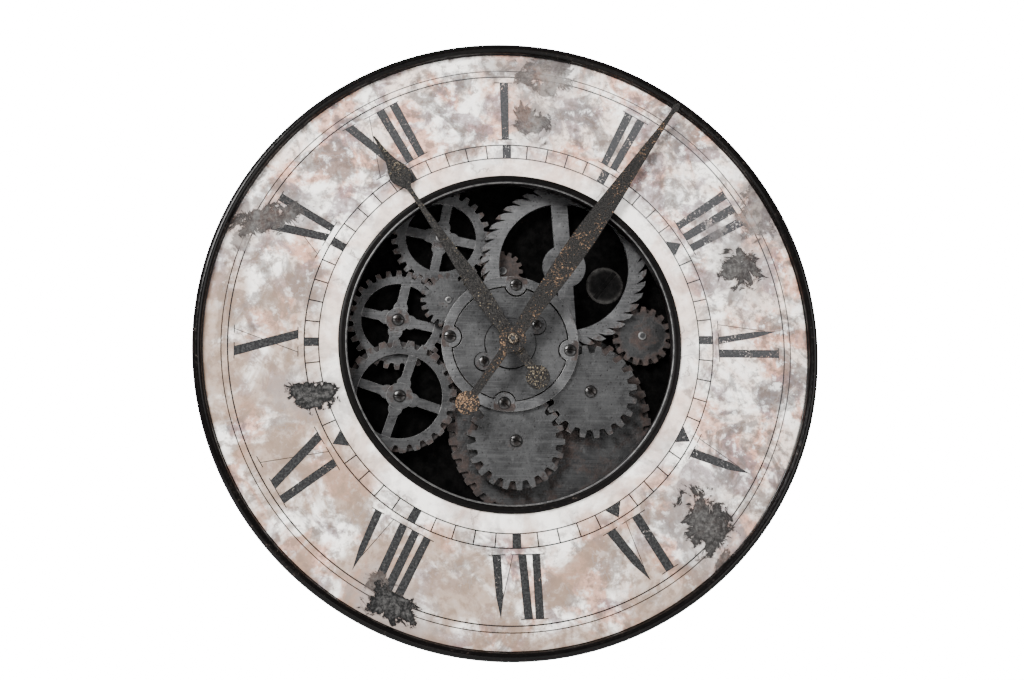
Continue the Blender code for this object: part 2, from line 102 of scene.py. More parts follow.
def use(piece, kind, **settings):
    """Add a modifier and apply it."""
    take(piece)
    modifier = piece.modifiers.new(kind.lower(), kind)
    for key, value in settings.items():
        setattr(modifier, key, value)
    bpy.ops.object.modifier_apply(modifier=modifier.name)
    return piece


def soften(piece, width, segments=2, angle=30.0):
    """Round the sharp edges."""
    return use(piece, "BEVEL", width=width, segments=segments, limit_method="ANGLE",
               angle_limit=math.radians(angle), harden_normals=False, use_clamp_overlap=True)


def joined(pieces):
    """Join pieces into the first."""
    take(pieces[0])
    for piece in pieces[1:]:
        piece.select_set(True)
    bpy.ops.object.join()
    return pieces[0]


def combine(piece, tool, operation):
    """Cut, add or keep what a tool covers, and throw the tool away."""
    use(piece, "BOOLEAN", operation=operation, object=tool, solver="EXACT")
    bpy.data.objects.remove(tool, do_unlink=True)
    return piece


def polar_from(at, radius, degrees):
    x, y = polar(radius, degrees)
    return at[0] + x, at[1] + y


def rod(radius, front, back, at=(0.0, 0.0), sides=48, turn=0.0):
    """A round bar along z."""
    clear_selection()
    bpy.ops.mesh.primitive_cylinder_add(vertices=sides, radius=radius, depth=front - back,
                                        location=(at[0], at[1], (front + back) / 2.0),
                                        rotation=(0.0, 0.0, math.radians(-turn)))
    return place_at(bpy.context.object)


def slab(size_x, size_y, front, back, at=(0.0, 0.0), turn=0.0):
    """A square-edged bar, turned clockwise."""
    clear_selection()
    bpy.ops.mesh.primitive_cube_add(size=1.0, location=(at[0], at[1], (front + back) / 2.0),
                                    rotation=(0.0, 0.0, math.radians(-turn)),
                                    scale=(size_x, size_y, front - back))
    return place_at(bpy.context.object)


def spun(profile, at=(0.0, 0.0), sides=192):
    """Pull a ring of edges along a profile of (radius, z). A profile that ends where it starts is a ring,
    and any other is capped at both ends."""
    clear_selection()
    start_r, start_z = profile[0]
    bpy.ops.mesh.primitive_circle_add(vertices=sides, radius=start_r, location=(at[0], at[1], start_z))
    piece = place_at(bpy.context.object)
    bpy.ops.object.mode_set(mode="EDIT")
    bpy.ops.mesh.select_all(action="SELECT")
    closed = profile[0] == profile[-1]
    if not closed:
        bpy.ops.mesh.edge_face_add()
        bpy.ops.mesh.select_all(action="SELECT")
    for (r0, z0), (r1, z1) in zip(profile, profile[1:]):
        if closed:
            bpy.ops.mesh.extrude_edges_move(TRANSFORM_OT_translate={"value": (0.0, 0.0, z1 - z0)})
        else:
            bpy.ops.mesh.extrude_region_move(TRANSFORM_OT_translate={"value": (0.0, 0.0, z1 - z0)})
        grow = r1 / r0
        bpy.ops.transform.resize(value=(grow, grow, 1.0), center_override=(at[0], at[1], z1))
    if closed:
        bpy.ops.mesh.select_all(action="SELECT")
        bpy.ops.mesh.remove_doubles(threshold=0.000001)
    bpy.ops.mesh.select_all(action="SELECT")
    bpy.ops.mesh.normals_make_consistent(inside=False)
    edit_done()
    return piece


def done(piece, name, body, finish, nodes=(), smooth=35.0):
    """Stand a piece up, name it, give it its finish and let it ride."""
    take(piece)
    piece.name = name
    piece.data.name = name
    bpy.ops.object.shade_smooth_by_angle(angle=math.radians(smooth))
    for edge in piece.data.edges:
        edge.select = False
    for face in piece.data.polygons:
        face.select = abs(face.normal.z) > LEVEL
    bpy.ops.object.mode_set(mode="EDIT")
    bpy.ops.mesh.select_mode(type="FACE")
    bpy.ops.mesh.faces_shade_flat()
    edit_done()
    piece.matrix_world = STAND_UP @ piece.matrix_world
    bpy.context.view_layer.update()
    bpy.ops.object.transform_apply(location=True, rotation=True, scale=True)
    piece.data.materials.clear()
    piece.data.materials.append(finish)
    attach(piece, body)
    if nodes:
        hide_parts(*nodes)
    return piece


# ---- shader tools ------------------------------------------------------------------
def add(tree, kind, inputs=None, **settings):
    """Add a shader node, and set or join its sockets."""
    node = tree.nodes.new("ShaderNode" + kind)
    for key, value in settings.items():
        setattr(node, key, value)
    for key, value in (inputs or {}).items():
        if isinstance(value, bpy.types.NodeSocket):
            tree.links.new(value, node.inputs[key])
        else:
            node.inputs[key].default_value = value
    return node


def noise(tree, coords, scale, detail=4.0, rough=0.55, distortion=0.0):
    return add(tree, "TexNoise", {"Vector": coords, "Scale": scale, "Detail": detail, "Roughness": rough,
                                  "Distortion": distortion}).outputs["Fac"]


def spread(tree, value, low, high, out_low=0.0, out_high=1.0):
    """Stretch the span low..high to out_low..out_high, smoothly, and hold it beyond."""
    node = add(tree, "MapRange", {0: value, 1: low, 2: high, 3: out_low, 4: out_high},
               interpolation_type="SMOOTHSTEP")
    return node.outputs[0]


def blend(tree, mask, first, second, kind="MIX"):
    node = add(tree, "Mix", {0: mask, 6: first, 7: second}, data_type="RGBA", blend_type=kind)
    return node.outputs[2]


def sums(tree, operation, first, second=0.0, third=0.0):
    return add(tree, "Math", {0: first, 1: second, 2: third}, operation=operation, use_clamp=False).outputs[0]


def rgb(red, green=None, blue=None):
    return (red, red if green is None else green, red if blue is None else blue, 1.0)


def shifted(tree, coords, by):
    """Coordinates with an offset added to them."""
    return add(tree, "VectorMath", {0: coords, 1: by}, operation="ADD").outputs[0]


def centred(tree, coords, at):
    """Coordinates counted from a point of the clock's face."""
    return shifted(tree, coords, (-at[0], WALL_TO_DIAL, HANG_DROP - at[1]))


def distance_from(tree, coords):
    """How far a point is from the axis of centred coordinates, along the face."""
    flat = add(tree, "VectorMath", {0: coords, 1: (1.0, 0.0, 1.0)}, operation="MULTIPLY").outputs[0]
    return add(tree, "VectorMath", {0: flat}, operation="LENGTH").outputs["Value"]


def new_group(name, takes, gives):
    """A node group with named sockets; returns the tree, its input node and its output node."""
    tree = bpy.data.node_groups.new(name, "ShaderNodeTree")
    for label, kind, value in takes:
        socket = tree.interface.new_socket(label, in_out="INPUT", socket_type="NodeSocket" + kind)
        if value is not None:
            socket.default_value = value
    for label, kind in gives:
        tree.interface.new_socket(label, in_out="OUTPUT", socket_type="NodeSocket" + kind)
    return tree, tree.nodes.new("NodeGroupInput"), tree.nodes.new("NodeGroupOutput")


def use_group(tree, name, inputs):
    node = add(tree, "Group", node_tree=bpy.data.node_groups[name])
    for key, value in inputs.items():
        if isinstance(value, bpy.types.NodeSocket):
            tree.links.new(value, node.inputs[key])
        else:
            node.inputs[key].default_value = value
    return node.outputs


def finish_start(name, rough=0.5, metal=0.0):
    """A material with its Principled shader and the coordinates of its piece."""
    material = bpy.data.materials.new(name)
    material.use_nodes = True
    tree = material.node_tree
    shader = tree.nodes["Principled BSDF"]
    shader.inputs["Roughness"].default_value = rough
    shader.inputs["Metallic"].default_value = metal
    coords = tree.nodes.new("ShaderNodeTexCoord").outputs["Object"]
    return material, tree, shader, coords


def bump(tree, shader, height, distance, strength=1.0):
    made = add(tree, "Bump", {"Height": height, "Distance": distance, "Strength": strength})
    tree.links.new(made.outputs["Normal"], shader.inputs["Normal"])


# ---- shared effects ------------------------------------------------------------------
def make_edge_slope_mask():
    """The narrow slopes between a plate's face and sides, broken by grain, used as edge wear and as a painted
    highlight on the bevels.
    """
    tree, into, out = new_group("edge_slope_mask", [("Vector", "Vector", None), ("Reach", "Float", 0.5)],
                                [("Mask", "Float")])
    lie = tree.nodes.new("ShaderNodeTexCoord").outputs["Normal"]
    facing = sums(tree, "ABSOLUTE", add(tree, "SeparateXYZ", {0: lie}).outputs["Y"])
    slope = sums(tree, "MULTIPLY", spread(tree, facing, 0.20, 0.50), spread(tree, facing, 0.995, 0.94))
    grain = noise(tree, into.outputs["Vector"], 190.0, 6.0, 0.65)
    edge_slopes = sums(tree, "MULTIPLY", slope, spread(tree, grain, 0.34, 0.60, 0.25, 1.0))
    tree.links.new(sums(tree, "MULTIPLY", edge_slopes, into.outputs["Reach"]), out.inputs["Mask"])


def make_rust_bloom():
    """Rust that comes up in patches where Where is high: a mask, its broken colour and its height."""
    tree, into, out = new_group("rust_bloom", [("Vector", "Vector", None), ("Where", "Float", 0.5)],
                                [("Mask", "Float"), ("Color", "Color"), ("Height", "Float")])
    coords = into.outputs["Vector"]
    patch = noise(tree, coords, 62.0, 8.0, 0.68, 0.4)
    grain = noise(tree, coords, 420.0, 6.0, 0.7)
    level = sums(tree, "ADD", patch, sums(tree, "MULTIPLY", sums(tree, "SUBTRACT", grain, 0.5), 0.35))
    level = sums(tree, "ADD", level, sums(tree, "SUBTRACT", into.outputs["Where"], 0.5))
    tree.links.new(spread(tree, level, 0.52, 0.70), out.inputs["Mask"])
    shade = noise(tree, coords, 150.0, 5.0, 0.6)
    brown = blend(tree, spread(tree, shade, 0.35, 0.68), rgb(0.0090, 0.0054, 0.0044),
                  rgb(0.030, 0.0175, 0.0138))
    brown = blend(tree, spread(tree, grain, 0.60, 0.78, 0.0, 0.7), brown, rgb(0.070, 0.044, 0.034))
    tree.links.new(brown, out.inputs["Color"])
    tree.links.new(sums(tree, "MULTIPLY", grain, 1.0), out.inputs["Height"])


def make_pitting():
    """Small pits and scattered specks, finer as Scale goes up."""
    tree, into, out = new_group("pitting", [("Vector", "Vector", None), ("Scale", "Float", 300.0)],
                                [("Mask", "Float"), ("Height", "Float")])
    scaled = {0: into.outputs["Vector"], 3: into.outputs["Scale"]}
    coords = add(tree, "VectorMath", scaled, operation="SCALE").outputs[0]
    fine = noise(tree, coords, 1.0, 5.0, 0.62)
    cell = add(tree, "TexVoronoi", {"Vector": coords, "Scale": 0.7, "Randomness": 1.0}).outputs["Distance"]
    pit = sums(tree, "MULTIPLY", spread(tree, cell, 0.34, 0.12), spread(tree, fine, 0.44, 0.60))
    tree.links.new(pit, out.inputs["Mask"])
    tree.links.new(sums(tree, "SUBTRACT", fine, sums(tree, "MULTIPLY", pit, 0.8)), out.inputs["Height"])


PEELED = (  # x, y, half width, half height, turn, depth of tone
    (0.037, 0.279, 0.026, 0.026, 20.0, 0.72), (0.021, 0.222, 0.017, 0.020, -35.0, 0.80),
    (0.250, 0.139, 0.021, 0.029, 10.0, 0.66), (0.229, 0.078, 0.022, 0.020, 30.0, 0.92),
    (-0.238, 0.116, 0.034, 0.014, -18.0, 0.90), (-0.262, 0.095, 0.010, 0.012, 10.0, 0.60),
    (-0.190, -0.056, 0.026, 0.014, 8.0, 1.0), (-0.112, -0.253, 0.030, 0.014, 28.0, 1.0),
    (-0.128, -0.232, 0.012, 0.010, 0.0, 0.80), (0.188, -0.176, 0.020, 0.034, -25.0, 0.95),
    (0.205, -0.212, 0.010, 0.016, 15.0, 0.80), (-0.014, 0.283, 0.018, 0.009, 0.0, 0.42),
    (0.205, 0.118, 0.012, 0.010, 0.0, 0.35),
)


def make_plaster_skin():
    """Aged plaster: warm white with rosy and grey clouds, fine cracks and peeled dark patches."""
    tree, into, out = new_group("plaster_skin", [("Vector", "Vector", None)],
                                [("Color", "Color"), ("Peeled", "Float"), ("Rough", "Float"),
                                 ("Height", "Float")])
    coords = into.outputs["Vector"]
    broad = noise(tree, coords, 13.0, 6.0, 0.60, 0.6)
    cloud = noise(tree, shifted(tree, coords, (3.1, 0.0, 1.7)), 21.0, 8.0, 0.66, 0.9)
    rosy = noise(tree, shifted(tree, coords, (7.3, 2.0, 4.2)), 17.0, 7.0, 0.62, 0.5)
    lilac = noise(tree, shifted(tree, coords, (1.3, 5.0, 9.1)), 26.0, 6.0, 0.60, 0.7)
    medium = noise(tree, coords, 90.0, 8.0, 0.65)
    fine = noise(tree, coords, 620.0, 5.0, 0.65)
    split = add(tree, "SeparateXYZ", {0: coords}).outputs
    open_field = spread(tree, distance_from(tree, coords), 0.176, 0.204, 0.30, 1.0)
    colour = blend(tree, spread(tree, broad, 0.44, 0.56), rgb(0.98, 0.935, 0.880), rgb(0.76, 0.630, 0.550))
    for cloudy, low, high, most, tone in ((rosy, 0.480, 0.575, 0.85, rgb(0.54, 0.255, 0.165)),
                                          (lilac, 0.495, 0.590, 0.78, rgb(0.165, 0.118, 0.135)),
                                          (cloud, 0.500, 0.595, 0.76, rgb(0.105, 0.100, 0.097)),
                                          (medium, 0.485, 0.610, 0.70, rgb(0.115, 0.082, 0.068)),
                                          (medium, 0.475, 0.36, 0.60, rgb(0.98, 0.965, 0.945))):
        amount = sums(tree, "MULTIPLY", spread(tree, cloudy, low, high, 0.0, most), open_field)
        colour = blend(tree, amount, colour, tone)
    low_left = sums(tree, "ADD", sums(tree, "MULTIPLY", split["X"], -0.8),
                    sums(tree, "MULTIPLY", split["Z"], -1.3))
    browned = sums(tree, "MULTIPLY", spread(tree, low_left, -0.04, 0.26, 0.0, 0.80),
                   spread(tree, broad, 0.38, 0.54))
    colour = blend(tree, sums(tree, "MULTIPLY", browned, open_field), colour, rgb(0.235, 0.160, 0.115))

    bent = add(tree, "TexNoise",
               {"Vector": coords, "Scale": 30.0, "Detail": 6.0, "Roughness": 0.6}).outputs["Color"]
    bent = add(tree, "VectorMath", {0: bent, 1: (0.5, 0.5, 0.5)}, operation="SUBTRACT").outputs[0]
    bent = add(tree, "VectorMath", {0: bent, 3: 0.05}, operation="SCALE").outputs[0]
    bent = shifted(tree, coords, bent)
    crack = add(tree, "TexVoronoi", {"Vector": bent, "Scale": 20.0},
                feature="DISTANCE_TO_EDGE").outputs["Distance"]
    crack = sums(tree, "MULTIPLY", spread(tree, crack, 0.022, 0.0), spread(tree, cloud, 0.50, 0.62, 0.0, 0.8))
    colour = blend(tree, crack, colour, rgb(0.24, 0.20, 0.18))

    ragged = noise(tree, coords, 60.0, 10.0, 0.74, 0.8)
    torn = sums(tree, "MULTIPLY", sums(tree, "SUBTRACT", ragged, 0.5), 3.7)
    peeled = None
    halo = None
    ragged_rim = None
    for x, y, wide, high, turn, tone in PEELED:
        patch = {"Vector": coords, "Location": (x, 0.0, y), "Rotation": (0.0, math.radians(turn), 0.0),
                 "Scale": (wide, 0.2, high)}
        spot = add(tree, "Mapping", patch, vector_type="TEXTURE").outputs[0]
        away = add(tree, "VectorMath", {0: spot}, operation="LENGTH").outputs["Value"]
        away = sums(tree, "ADD", away, torn)
        inside = spread(tree, away, 1.0, 0.86, 0.0, tone)
        around = spread(tree, away, 2.2, 1.0, 0.0, 0.62 * tone)
        rim = sums(tree, "MULTIPLY", inside, spread(tree, away, 0.55, 0.80, 0.0, tone))
        ragged_rim = rim if ragged_rim is None else sums(tree, "MAXIMUM", ragged_rim, rim)
        peeled = inside if peeled is None else sums(tree, "MAXIMUM", peeled, inside)
        halo = around if halo is None else sums(tree, "MAXIMUM", halo, around)
    colour = blend(tree, halo, colour, rgb(0.24, 0.215, 0.205))
    grit = noise(tree, coords, 240.0, 9.0, 0.75)
    charcoal = blend(tree, spread(tree, grit, 0.40, 0.64), rgb(0.006), rgb(0.062, 0.060, 0.058))
    charcoal = blend(tree, ragged_rim, charcoal, rgb(0.004))
    colour = blend(tree, peeled, colour, charcoal)
    speck = spread(tree, fine, 0.66, 0.78, 0.0, 0.45)
    colour = blend(tree, speck, colour, rgb(0.30, 0.26, 0.23))
    tree.links.new(colour, out.inputs["Color"])
    tree.links.new(peeled, out.inputs["Peeled"])
    tree.links.new(spread(tree, medium, 0.3, 0.7, 0.62, 0.80), out.inputs["Rough"])
    height = sums(tree, "ADD", sums(tree, "MULTIPLY", medium, 0.6), sums(tree, "MULTIPLY", fine, 0.18))
    height = sums(tree, "SUBTRACT", height, sums(tree, "MULTIPLY", crack, 0.4))
    height = sums(tree, "SUBTRACT", height, sums(tree, "MULTIPLY", peeled, sums(tree, "ADD", 0.5, grit)))
    tree.links.new(height, out.inputs["Height"])


make_edge_slope_mask()
make_rust_bloom()
make_pitting()
make_plaster_skin()


# ---- finishes ------------------------------------------------------------------------
def plaster():
    material, tree, shader, coords = finish_start("aged_plaster", rough=0.75)
    shader.inputs["Specular IOR Level"].default_value = 0.08
    skin = use_group(tree, "plaster_skin", {"Vector": centred(tree, coords, (0.0, 0.0))})
    lie = add(tree, "SeparateXYZ", {0: tree.nodes.new("ShaderNodeTexCoord").outputs["Normal"]}).outputs["Y"]
    fibre = noise(tree, coords, 340.0, 6.0, 0.7)
    board = blend(tree, spread(tree, fibre, 0.36, 0.64), rgb(0.150, 0.096, 0.058), rgb(0.240, 0.165, 0.105))
    tree.links.new(blend(tree, spread(tree, lie, -0.30, -0.10), skin["Color"], board),
                   shader.inputs["Base Color"])
    tree.links.new(skin["Rough"], shader.inputs["Roughness"])
    bump(tree, shader, skin["Height"], 0.0007, 0.7)
    return material


def dial_ink(name, wear, dark):
    """Charcoal print that has flaked, so the plaster comes through it."""
    material, tree, shader, coords = finish_start(name, rough=0.7)
    shader.inputs["Specular IOR Level"].default_value = 0.08
    face = centred(tree, coords, (0.0, 0.0))
    skin = use_group(tree, "plaster_skin", {"Vector": face})
    speck = noise(tree, face, 430.0, 7.0, 0.72)
    patch = noise(tree, face, 42.0, 6.0, 0.65)
    split = add(tree, "SeparateXYZ", {0: face}).outputs
    high_right = sums(tree, "ADD", split["X"], sums(tree, "MULTIPLY", split["Z"], 1.2))
    faded = spread(tree, high_right, -0.15, 0.40, 0.0, 0.42)
    flake = sums(tree, "ADD", speck, sums(tree, "MULTIPLY", sums(tree, "SUBTRACT", patch, 0.5), 0.55))
    flake = sums(tree, "ADD", flake, sums(tree, "MULTIPLY", faded, 0.14))
    gone = spread(tree, flake, 0.62 - wear, 0.74 - wear)
    tone = blend(tree, spread(tree, speck, 0.40, 0.66), rgb(dark, dark, dark * 1.04), rgb(dark * 3.6))
    tone = blend(tree, faded, tone, rgb(0.074, 0.074, 0.077))
    colour = blend(tree, gone, tone, skin["Color"])
    tree.links.new(blend(tree, skin["Peeled"], colour, skin["Color"]), shader.inputs["Base Color"])
    bump(tree, shader, skin["Height"], 0.0007, 0.7)
    return material


def worn_steel(name, at=(0.0, 0.0), root=None, tip=None, hub=0.008, rusty=0.35, shade=1.0, lathe_marks=0.5,
               seats=()):
    """Gun-dark steel plate about a centre: fine brushing, pits, pale corners that are partly edge wear and partly a
    painted highlight on the bevels, and rust at the rim, the hub and round any screw seats, which are given as (x,
    y, radius)."""
    material, tree, shader, coords = finish_start(name, rough=0.5, metal=0.85)
    face = centred(tree, coords, at)
    away = distance_from(tree, face)
    broad = noise(tree, coords, 30.0, 6.0, 0.62, 0.4)
    mottle = noise(tree, coords, 130.0, 6.0, 0.68)
    fine = noise(tree, coords, 380.0, 6.0, 0.70)
    drawn = add(tree, "VectorMath", {0: coords, 1: (26.0, 60.0, 1100.0)}, operation="MULTIPLY").outputs[0]
    drawn = noise(tree, drawn, 1.0, 3.0, 0.60)
    colour = blend(tree, spread(tree, broad, 0.34, 0.66), rgb(0.026 * shade, 0.026 * shade, 0.0265 * shade),
                   rgb(0.052 * shade, 0.052 * shade, 0.0525 * shade))
    colour = blend(tree, spread(tree, drawn, 0.46, 0.66, 0.0, 0.45), colour, rgb(0.074 * shade))
    colour = blend(tree, spread(tree, mottle, 0.54, 0.74, 0.0, 0.50), colour, rgb(0.092 * shade))
    colour = blend(tree, spread(tree, mottle, 0.46, 0.30, 0.0, 0.60), colour, rgb(0.010 * shade))
    pits = use_group(tree, "pitting", {"Vector": coords, "Scale": 420.0})
    colour = blend(tree, sums(tree, "MULTIPLY", pits["Mask"], 0.85), colour, rgb(0.004, 0.0035, 0.003))
    where = spread(tree, away, hub * 2.4, hub, rusty, rusty + 0.20)
    if tip:
        where = sums(tree, "ADD", where, spread(tree, away, root - 0.006, tip, 0.0, 0.30))
    for x, y, radius in seats:
        near = distance_from(tree, centred(tree, coords, (x, y)))
        where = sums(tree, "ADD", where, spread(tree, near, radius * 1.25, radius * 0.95, 0.0, 0.34))
    rust = use_group(tree, "rust_bloom", {"Vector": coords, "Where": where})
    colour = blend(tree, rust["Mask"], colour, rust["Color"])
    # Pale bevels: partly edge wear, partly a painted highlight where the edges would catch the light.
    edge_slopes = use_group(tree, "edge_slope_mask", {"Vector": coords, "Reach": 0.75})["Mask"]
    colour = blend(tree, edge_slopes, colour, rgb(0.270 * shade, 0.264 * shade, 0.258 * shade))
    tree.links.new(colour, shader.inputs["Base Color"])
    tree.links.new(sums(tree, "MULTIPLY_ADD", rust["Mask"], -0.70, 0.85), shader.inputs["Metallic"])
    rough = spread(tree, fine, 0.3, 0.7, 0.42, 0.58)
    tree.links.new(sums(tree, "ADD", rough, sums(tree, "MULTIPLY", rust["Mask"], 0.28)),
                   shader.inputs["Roughness"])
    flat = add(tree, "VectorMath", {0: face, 1: (1.0, 0.0, 1.0)}, operation="MULTIPLY").outputs[0]
    rings = add(tree, "TexWave", {"Vector": flat, "Scale": 420.0, "Distortion": 1.4, "Detail": 3.0,
                                  "Detail Scale": 2.0},
                wave_type="RINGS", rings_direction="SPHERICAL").outputs["Fac"]
    height = sums(tree, "MULTIPLY", rings, 0.06 * lathe_marks)
    height = sums(tree, "ADD", height, sums(tree, "MULTIPLY", pits["Height"], 0.7))
    height = sums(tree, "ADD", height, sums(tree, "MULTIPLY", drawn, 0.30))
    crust = sums(tree, "MULTIPLY", rust["Mask"], sums(tree, "MULTIPLY", rust["Height"], 0.9))
    height = sums(tree, "ADD", height, crust)
    height = sums(tree, "ADD", height, sums(tree, "MULTIPLY", broad, 0.8))
    bump(tree, shader, height, 0.00045, 0.8)
    return material


def screw_black(name, shade=1.0):
    """Oiled black screw steel, shiny on the dome, brown in the low places."""
    material, tree, shader, coords = finish_start(name, rough=0.3, metal=0.9)
    mottle = noise(tree, coords, 260.0, 6.0, 0.66)
    fine = noise(tree, coords, 900.0, 5.0, 0.68)
    rust = use_group(tree, "rust_bloom", {"Vector": coords, "Where": 0.46})
    colour = blend(tree, spread(tree, mottle, 0.36, 0.66), rgb(0.0045 * shade),
                   rgb(0.021 * shade, 0.0175 * shade, 0.016 * shade))
    colour = blend(tree, sums(tree, "MULTIPLY", rust["Mask"], 0.8), colour, rust["Color"])
    # Painted highlight: the dome's bevels and the slot's edges are lightened as if they caught the lamp.
    edge_slopes = use_group(tree, "edge_slope_mask", {"Vector": coords, "Reach": 0.25})["Mask"]
    colour = blend(tree, edge_slopes, colour, rgb(0.14 * shade))
    tree.links.new(colour, shader.inputs["Base Color"])
    tree.links.new(spread(tree, fine, 0.3, 0.7, 0.24, 0.38), shader.inputs["Roughness"])
    bump(tree, shader, sums(tree, "ADD", fine, mottle), 0.00012, 0.6)
    return material


def hand_paint(name, centre, reach, gilt, bare=0.075):
    """Black paint worn to a fine grey and gold speckle, thickest on the round weight at centre."""
    material, tree, shader, coords = finish_start(name, rough=0.55, metal=0.2)
    shader.inputs["Specular IOR Level"].default_value = 0.10
    speck = noise(tree, coords, 860.0, 5.0, 0.72)
    crumb = noise(tree, coords, 520.0, 6.0, 0.74)
    patch = noise(tree, coords, 46.0, 6.0, 0.62)
    away = distance_from(tree, centred(tree, coords, centre))
    near = spread(tree, away, reach * 1.8, reach * 0.9, 0.0, bare)
    level = sums(tree, "ADD", crumb, sums(tree, "MULTIPLY", sums(tree, "SUBTRACT", patch, 0.5), 0.50))
    level = sums(tree, "ADD", level, near)
    black = blend(tree, spread(tree, speck, 0.42, 0.64), rgb(0.0030, 0.0028, 0.0027),
                  rgb(0.034, 0.0320, 0.0300))
    gold = blend(tree, spread(tree, speck, 0.40, 0.62), rgb(0.020, 0.012, 0.008), gilt)
    colour = blend(tree, spread(tree, level, 0.590, 0.650), black, gold)
    edge_slopes = use_group(tree, "edge_slope_mask", {"Vector": coords, "Reach": 0.35})["Mask"]
    colour = blend(tree, edge_slopes, colour, rgb(0.004, 0.0035, 0.003))
    tree.links.new(colour, shader.inputs["Base Color"])
    tree.links.new(spread(tree, speck, 0.3, 0.7, 0.46, 0.70), shader.inputs["Roughness"])
    height = sums(tree, "ADD", sums(tree, "MULTIPLY", speck, 0.6), sums(tree, "MULTIPLY", crumb, 1.2))
    bump(tree, shader, height, 0.00036, 0.9)
    return material


def worn_black(name, bronze, rough_low, rough_high, grain_scale=300.0, metal=0.3, amount=0.5, sheen=0.5):
    """Black enamel over sheet metal, with a little bronze coming through."""
    material, tree, shader, coords = finish_start(name, rough=0.4, metal=metal)
    shader.inputs["Specular IOR Level"].default_value = sheen
    broad = noise(tree, coords, 22.0, 6.0, 0.62)
    fine = noise(tree, coords, grain_scale, 6.0, 0.68)
    mask = sums(tree, "MULTIPLY", spread(tree, broad, 0.40, 0.70),
                spread(tree, fine, 0.42, 0.66, 0.0, amount))
    colour = blend(tree, mask, rgb(0.0022, 0.0018, 0.0017), bronze)
    chip = spread(tree, sums(tree, "ADD", fine, sums(tree, "MULTIPLY", broad, 0.3)), 0.80, 0.86, 0.0, 0.6)
    colour = blend(tree, chip, colour, rgb(0.075, 0.060, 0.050))
    tree.links.new(colour, shader.inputs["Base Color"])
    tree.links.new(spread(tree, fine, 0.3, 0.7, rough_low, rough_high), shader.inputs["Roughness"])
    bump(tree, shader, sums(tree, "ADD", sums(tree, "MULTIPLY", fine, 0.4), broad), 0.00022, 0.6)
    return material


def cast_paint(name, shade, sheen=0.015):
    """Rough near-black paint over a cast skin."""
    material, tree, shader, coords = finish_start(name, rough=0.8, metal=0.0)
    shader.inputs["Specular IOR Level"].default_value = sheen
    lump = noise(tree, coords, 120.0, 6.0, 0.68)
    fine = noise(tree, coords, 560.0, 5.0, 0.7)
    rust = use_group(tree, "rust_bloom", {"Vector": coords, "Where": 0.36})
    colour = blend(tree, spread(tree, lump, 0.36, 0.66), rgb(0.0022 * shade),
                   rgb(0.0100 * shade, 0.0094 * shade, 0.0090 * shade))
    dull = blend(tree, 0.70, rust["Color"], rgb(0.004, 0.0034, 0.0032))
    colour = blend(tree, rust["Mask"], colour, dull)
    # Painted highlight: the bevelled edges are lightened as if they caught the lamp.
    edge_slopes = use_group(tree, "edge_slope_mask", {"Vector": coords, "Reach": 0.6})["Mask"]
    colour = blend(tree, edge_slopes, colour, rgb(0.110 * shade, 0.104 * shade, 0.098 * shade))
    tree.links.new(colour, shader.inputs["Base Color"])
    tree.links.new(spread(tree, fine, 0.3, 0.7, 0.68, 0.92), shader.inputs["Roughness"])
    bump(tree, shader, sums(tree, "ADD", lump, sums(tree, "MULTIPLY", fine, 0.4)), 0.0012, 0.9)
    return material


def brushed_brass(name, shade=1.0):
    material, tree, shader, coords = finish_start(name, rough=0.4, metal=0.95)
    fine = noise(tree, coords, 500.0, 6.0, 0.7)
    broad = noise(tree, coords, 110.0, 5.0, 0.6)
    colour = blend(tree, spread(tree, broad, 0.35, 0.66), rgb(0.46 * shade, 0.36 * shade, 0.24 * shade),
                   rgb(0.24 * shade, 0.18 * shade, 0.12 * shade))
    colour = blend(tree, spread(tree, fine, 0.50, 0.60, 0.0, 0.9), colour, rgb(0.020, 0.015, 0.012))
    tree.links.new(colour, shader.inputs["Base Color"])
    tree.links.new(spread(tree, fine, 0.3, 0.7, 0.34, 0.60), shader.inputs["Roughness"])
    bump(tree, shader, fine, 0.0001, 0.6)
    return material


def moulded(name, shade, rough, grain=900.0, depth=0.00012, tint=None):
    """Moulded plastic or rubber with a fine spark-eroded grain and a little dust."""
    material, tree, shader, coords = finish_start(name, rough=rough)
    fine = noise(tree, coords, grain, 4.0, 0.6)
    broad = noise(tree, coords, 40.0, 5.0, 0.6)
    base = tint or rgb(shade)
    light = (base[0] * 1.5 + 0.006, base[1] * 1.5 + 0.006, base[2] * 1.5 + 0.006, 1.0)
    colour = blend(tree, spread(tree, fine, 0.38, 0.66), base, light)
    dusty = spread(tree, broad, 0.48, 0.76, 0.0, 0.25)
    colour = blend(tree, dusty, colour, rgb(0.20, 0.19, 0.175))
    tree.links.new(colour, shader.inputs["Base Color"])
    tree.links.new(spread(tree, broad, 0.3, 0.7, rough - 0.07, rough + 0.08), shader.inputs["Roughness"])
    bump(tree, shader, fine, depth, 0.6)
    return material


def sheet_zinc(name):
    """Plated steel: large soft crystals, fine scratches, dull spots."""
    material, tree, shader, coords = finish_start(name, rough=0.4, metal=0.9)
    crystal = add(tree, "TexVoronoi", {"Vector": coords, "Scale": 160.0}).outputs["Color"]
    crystal = add(tree, "SeparateColor", {0: crystal}).outputs[0]
    fine = noise(tree, coords, 400.0, 6.0, 0.7)
    colour = blend(tree, spread(tree, crystal, 0.0, 1.0), rgb(0.30, 0.30, 0.31), rgb(0.48, 0.48, 0.49))
    colour = blend(tree, spread(tree, fine, 0.60, 0.76, 0.0, 0.7), colour, rgb(0.11, 0.10, 0.09))
    tree.links.new(colour, shader.inputs["Base Color"])
    tree.links.new(spread(tree, crystal, 0.0, 1.0, 0.34, 0.52), shader.inputs["Roughness"])
    bump(tree, shader, sums(tree, "ADD", fine, sums(tree, "MULTIPLY", crystal, 0.3)), 0.0001, 0.5)
    return material


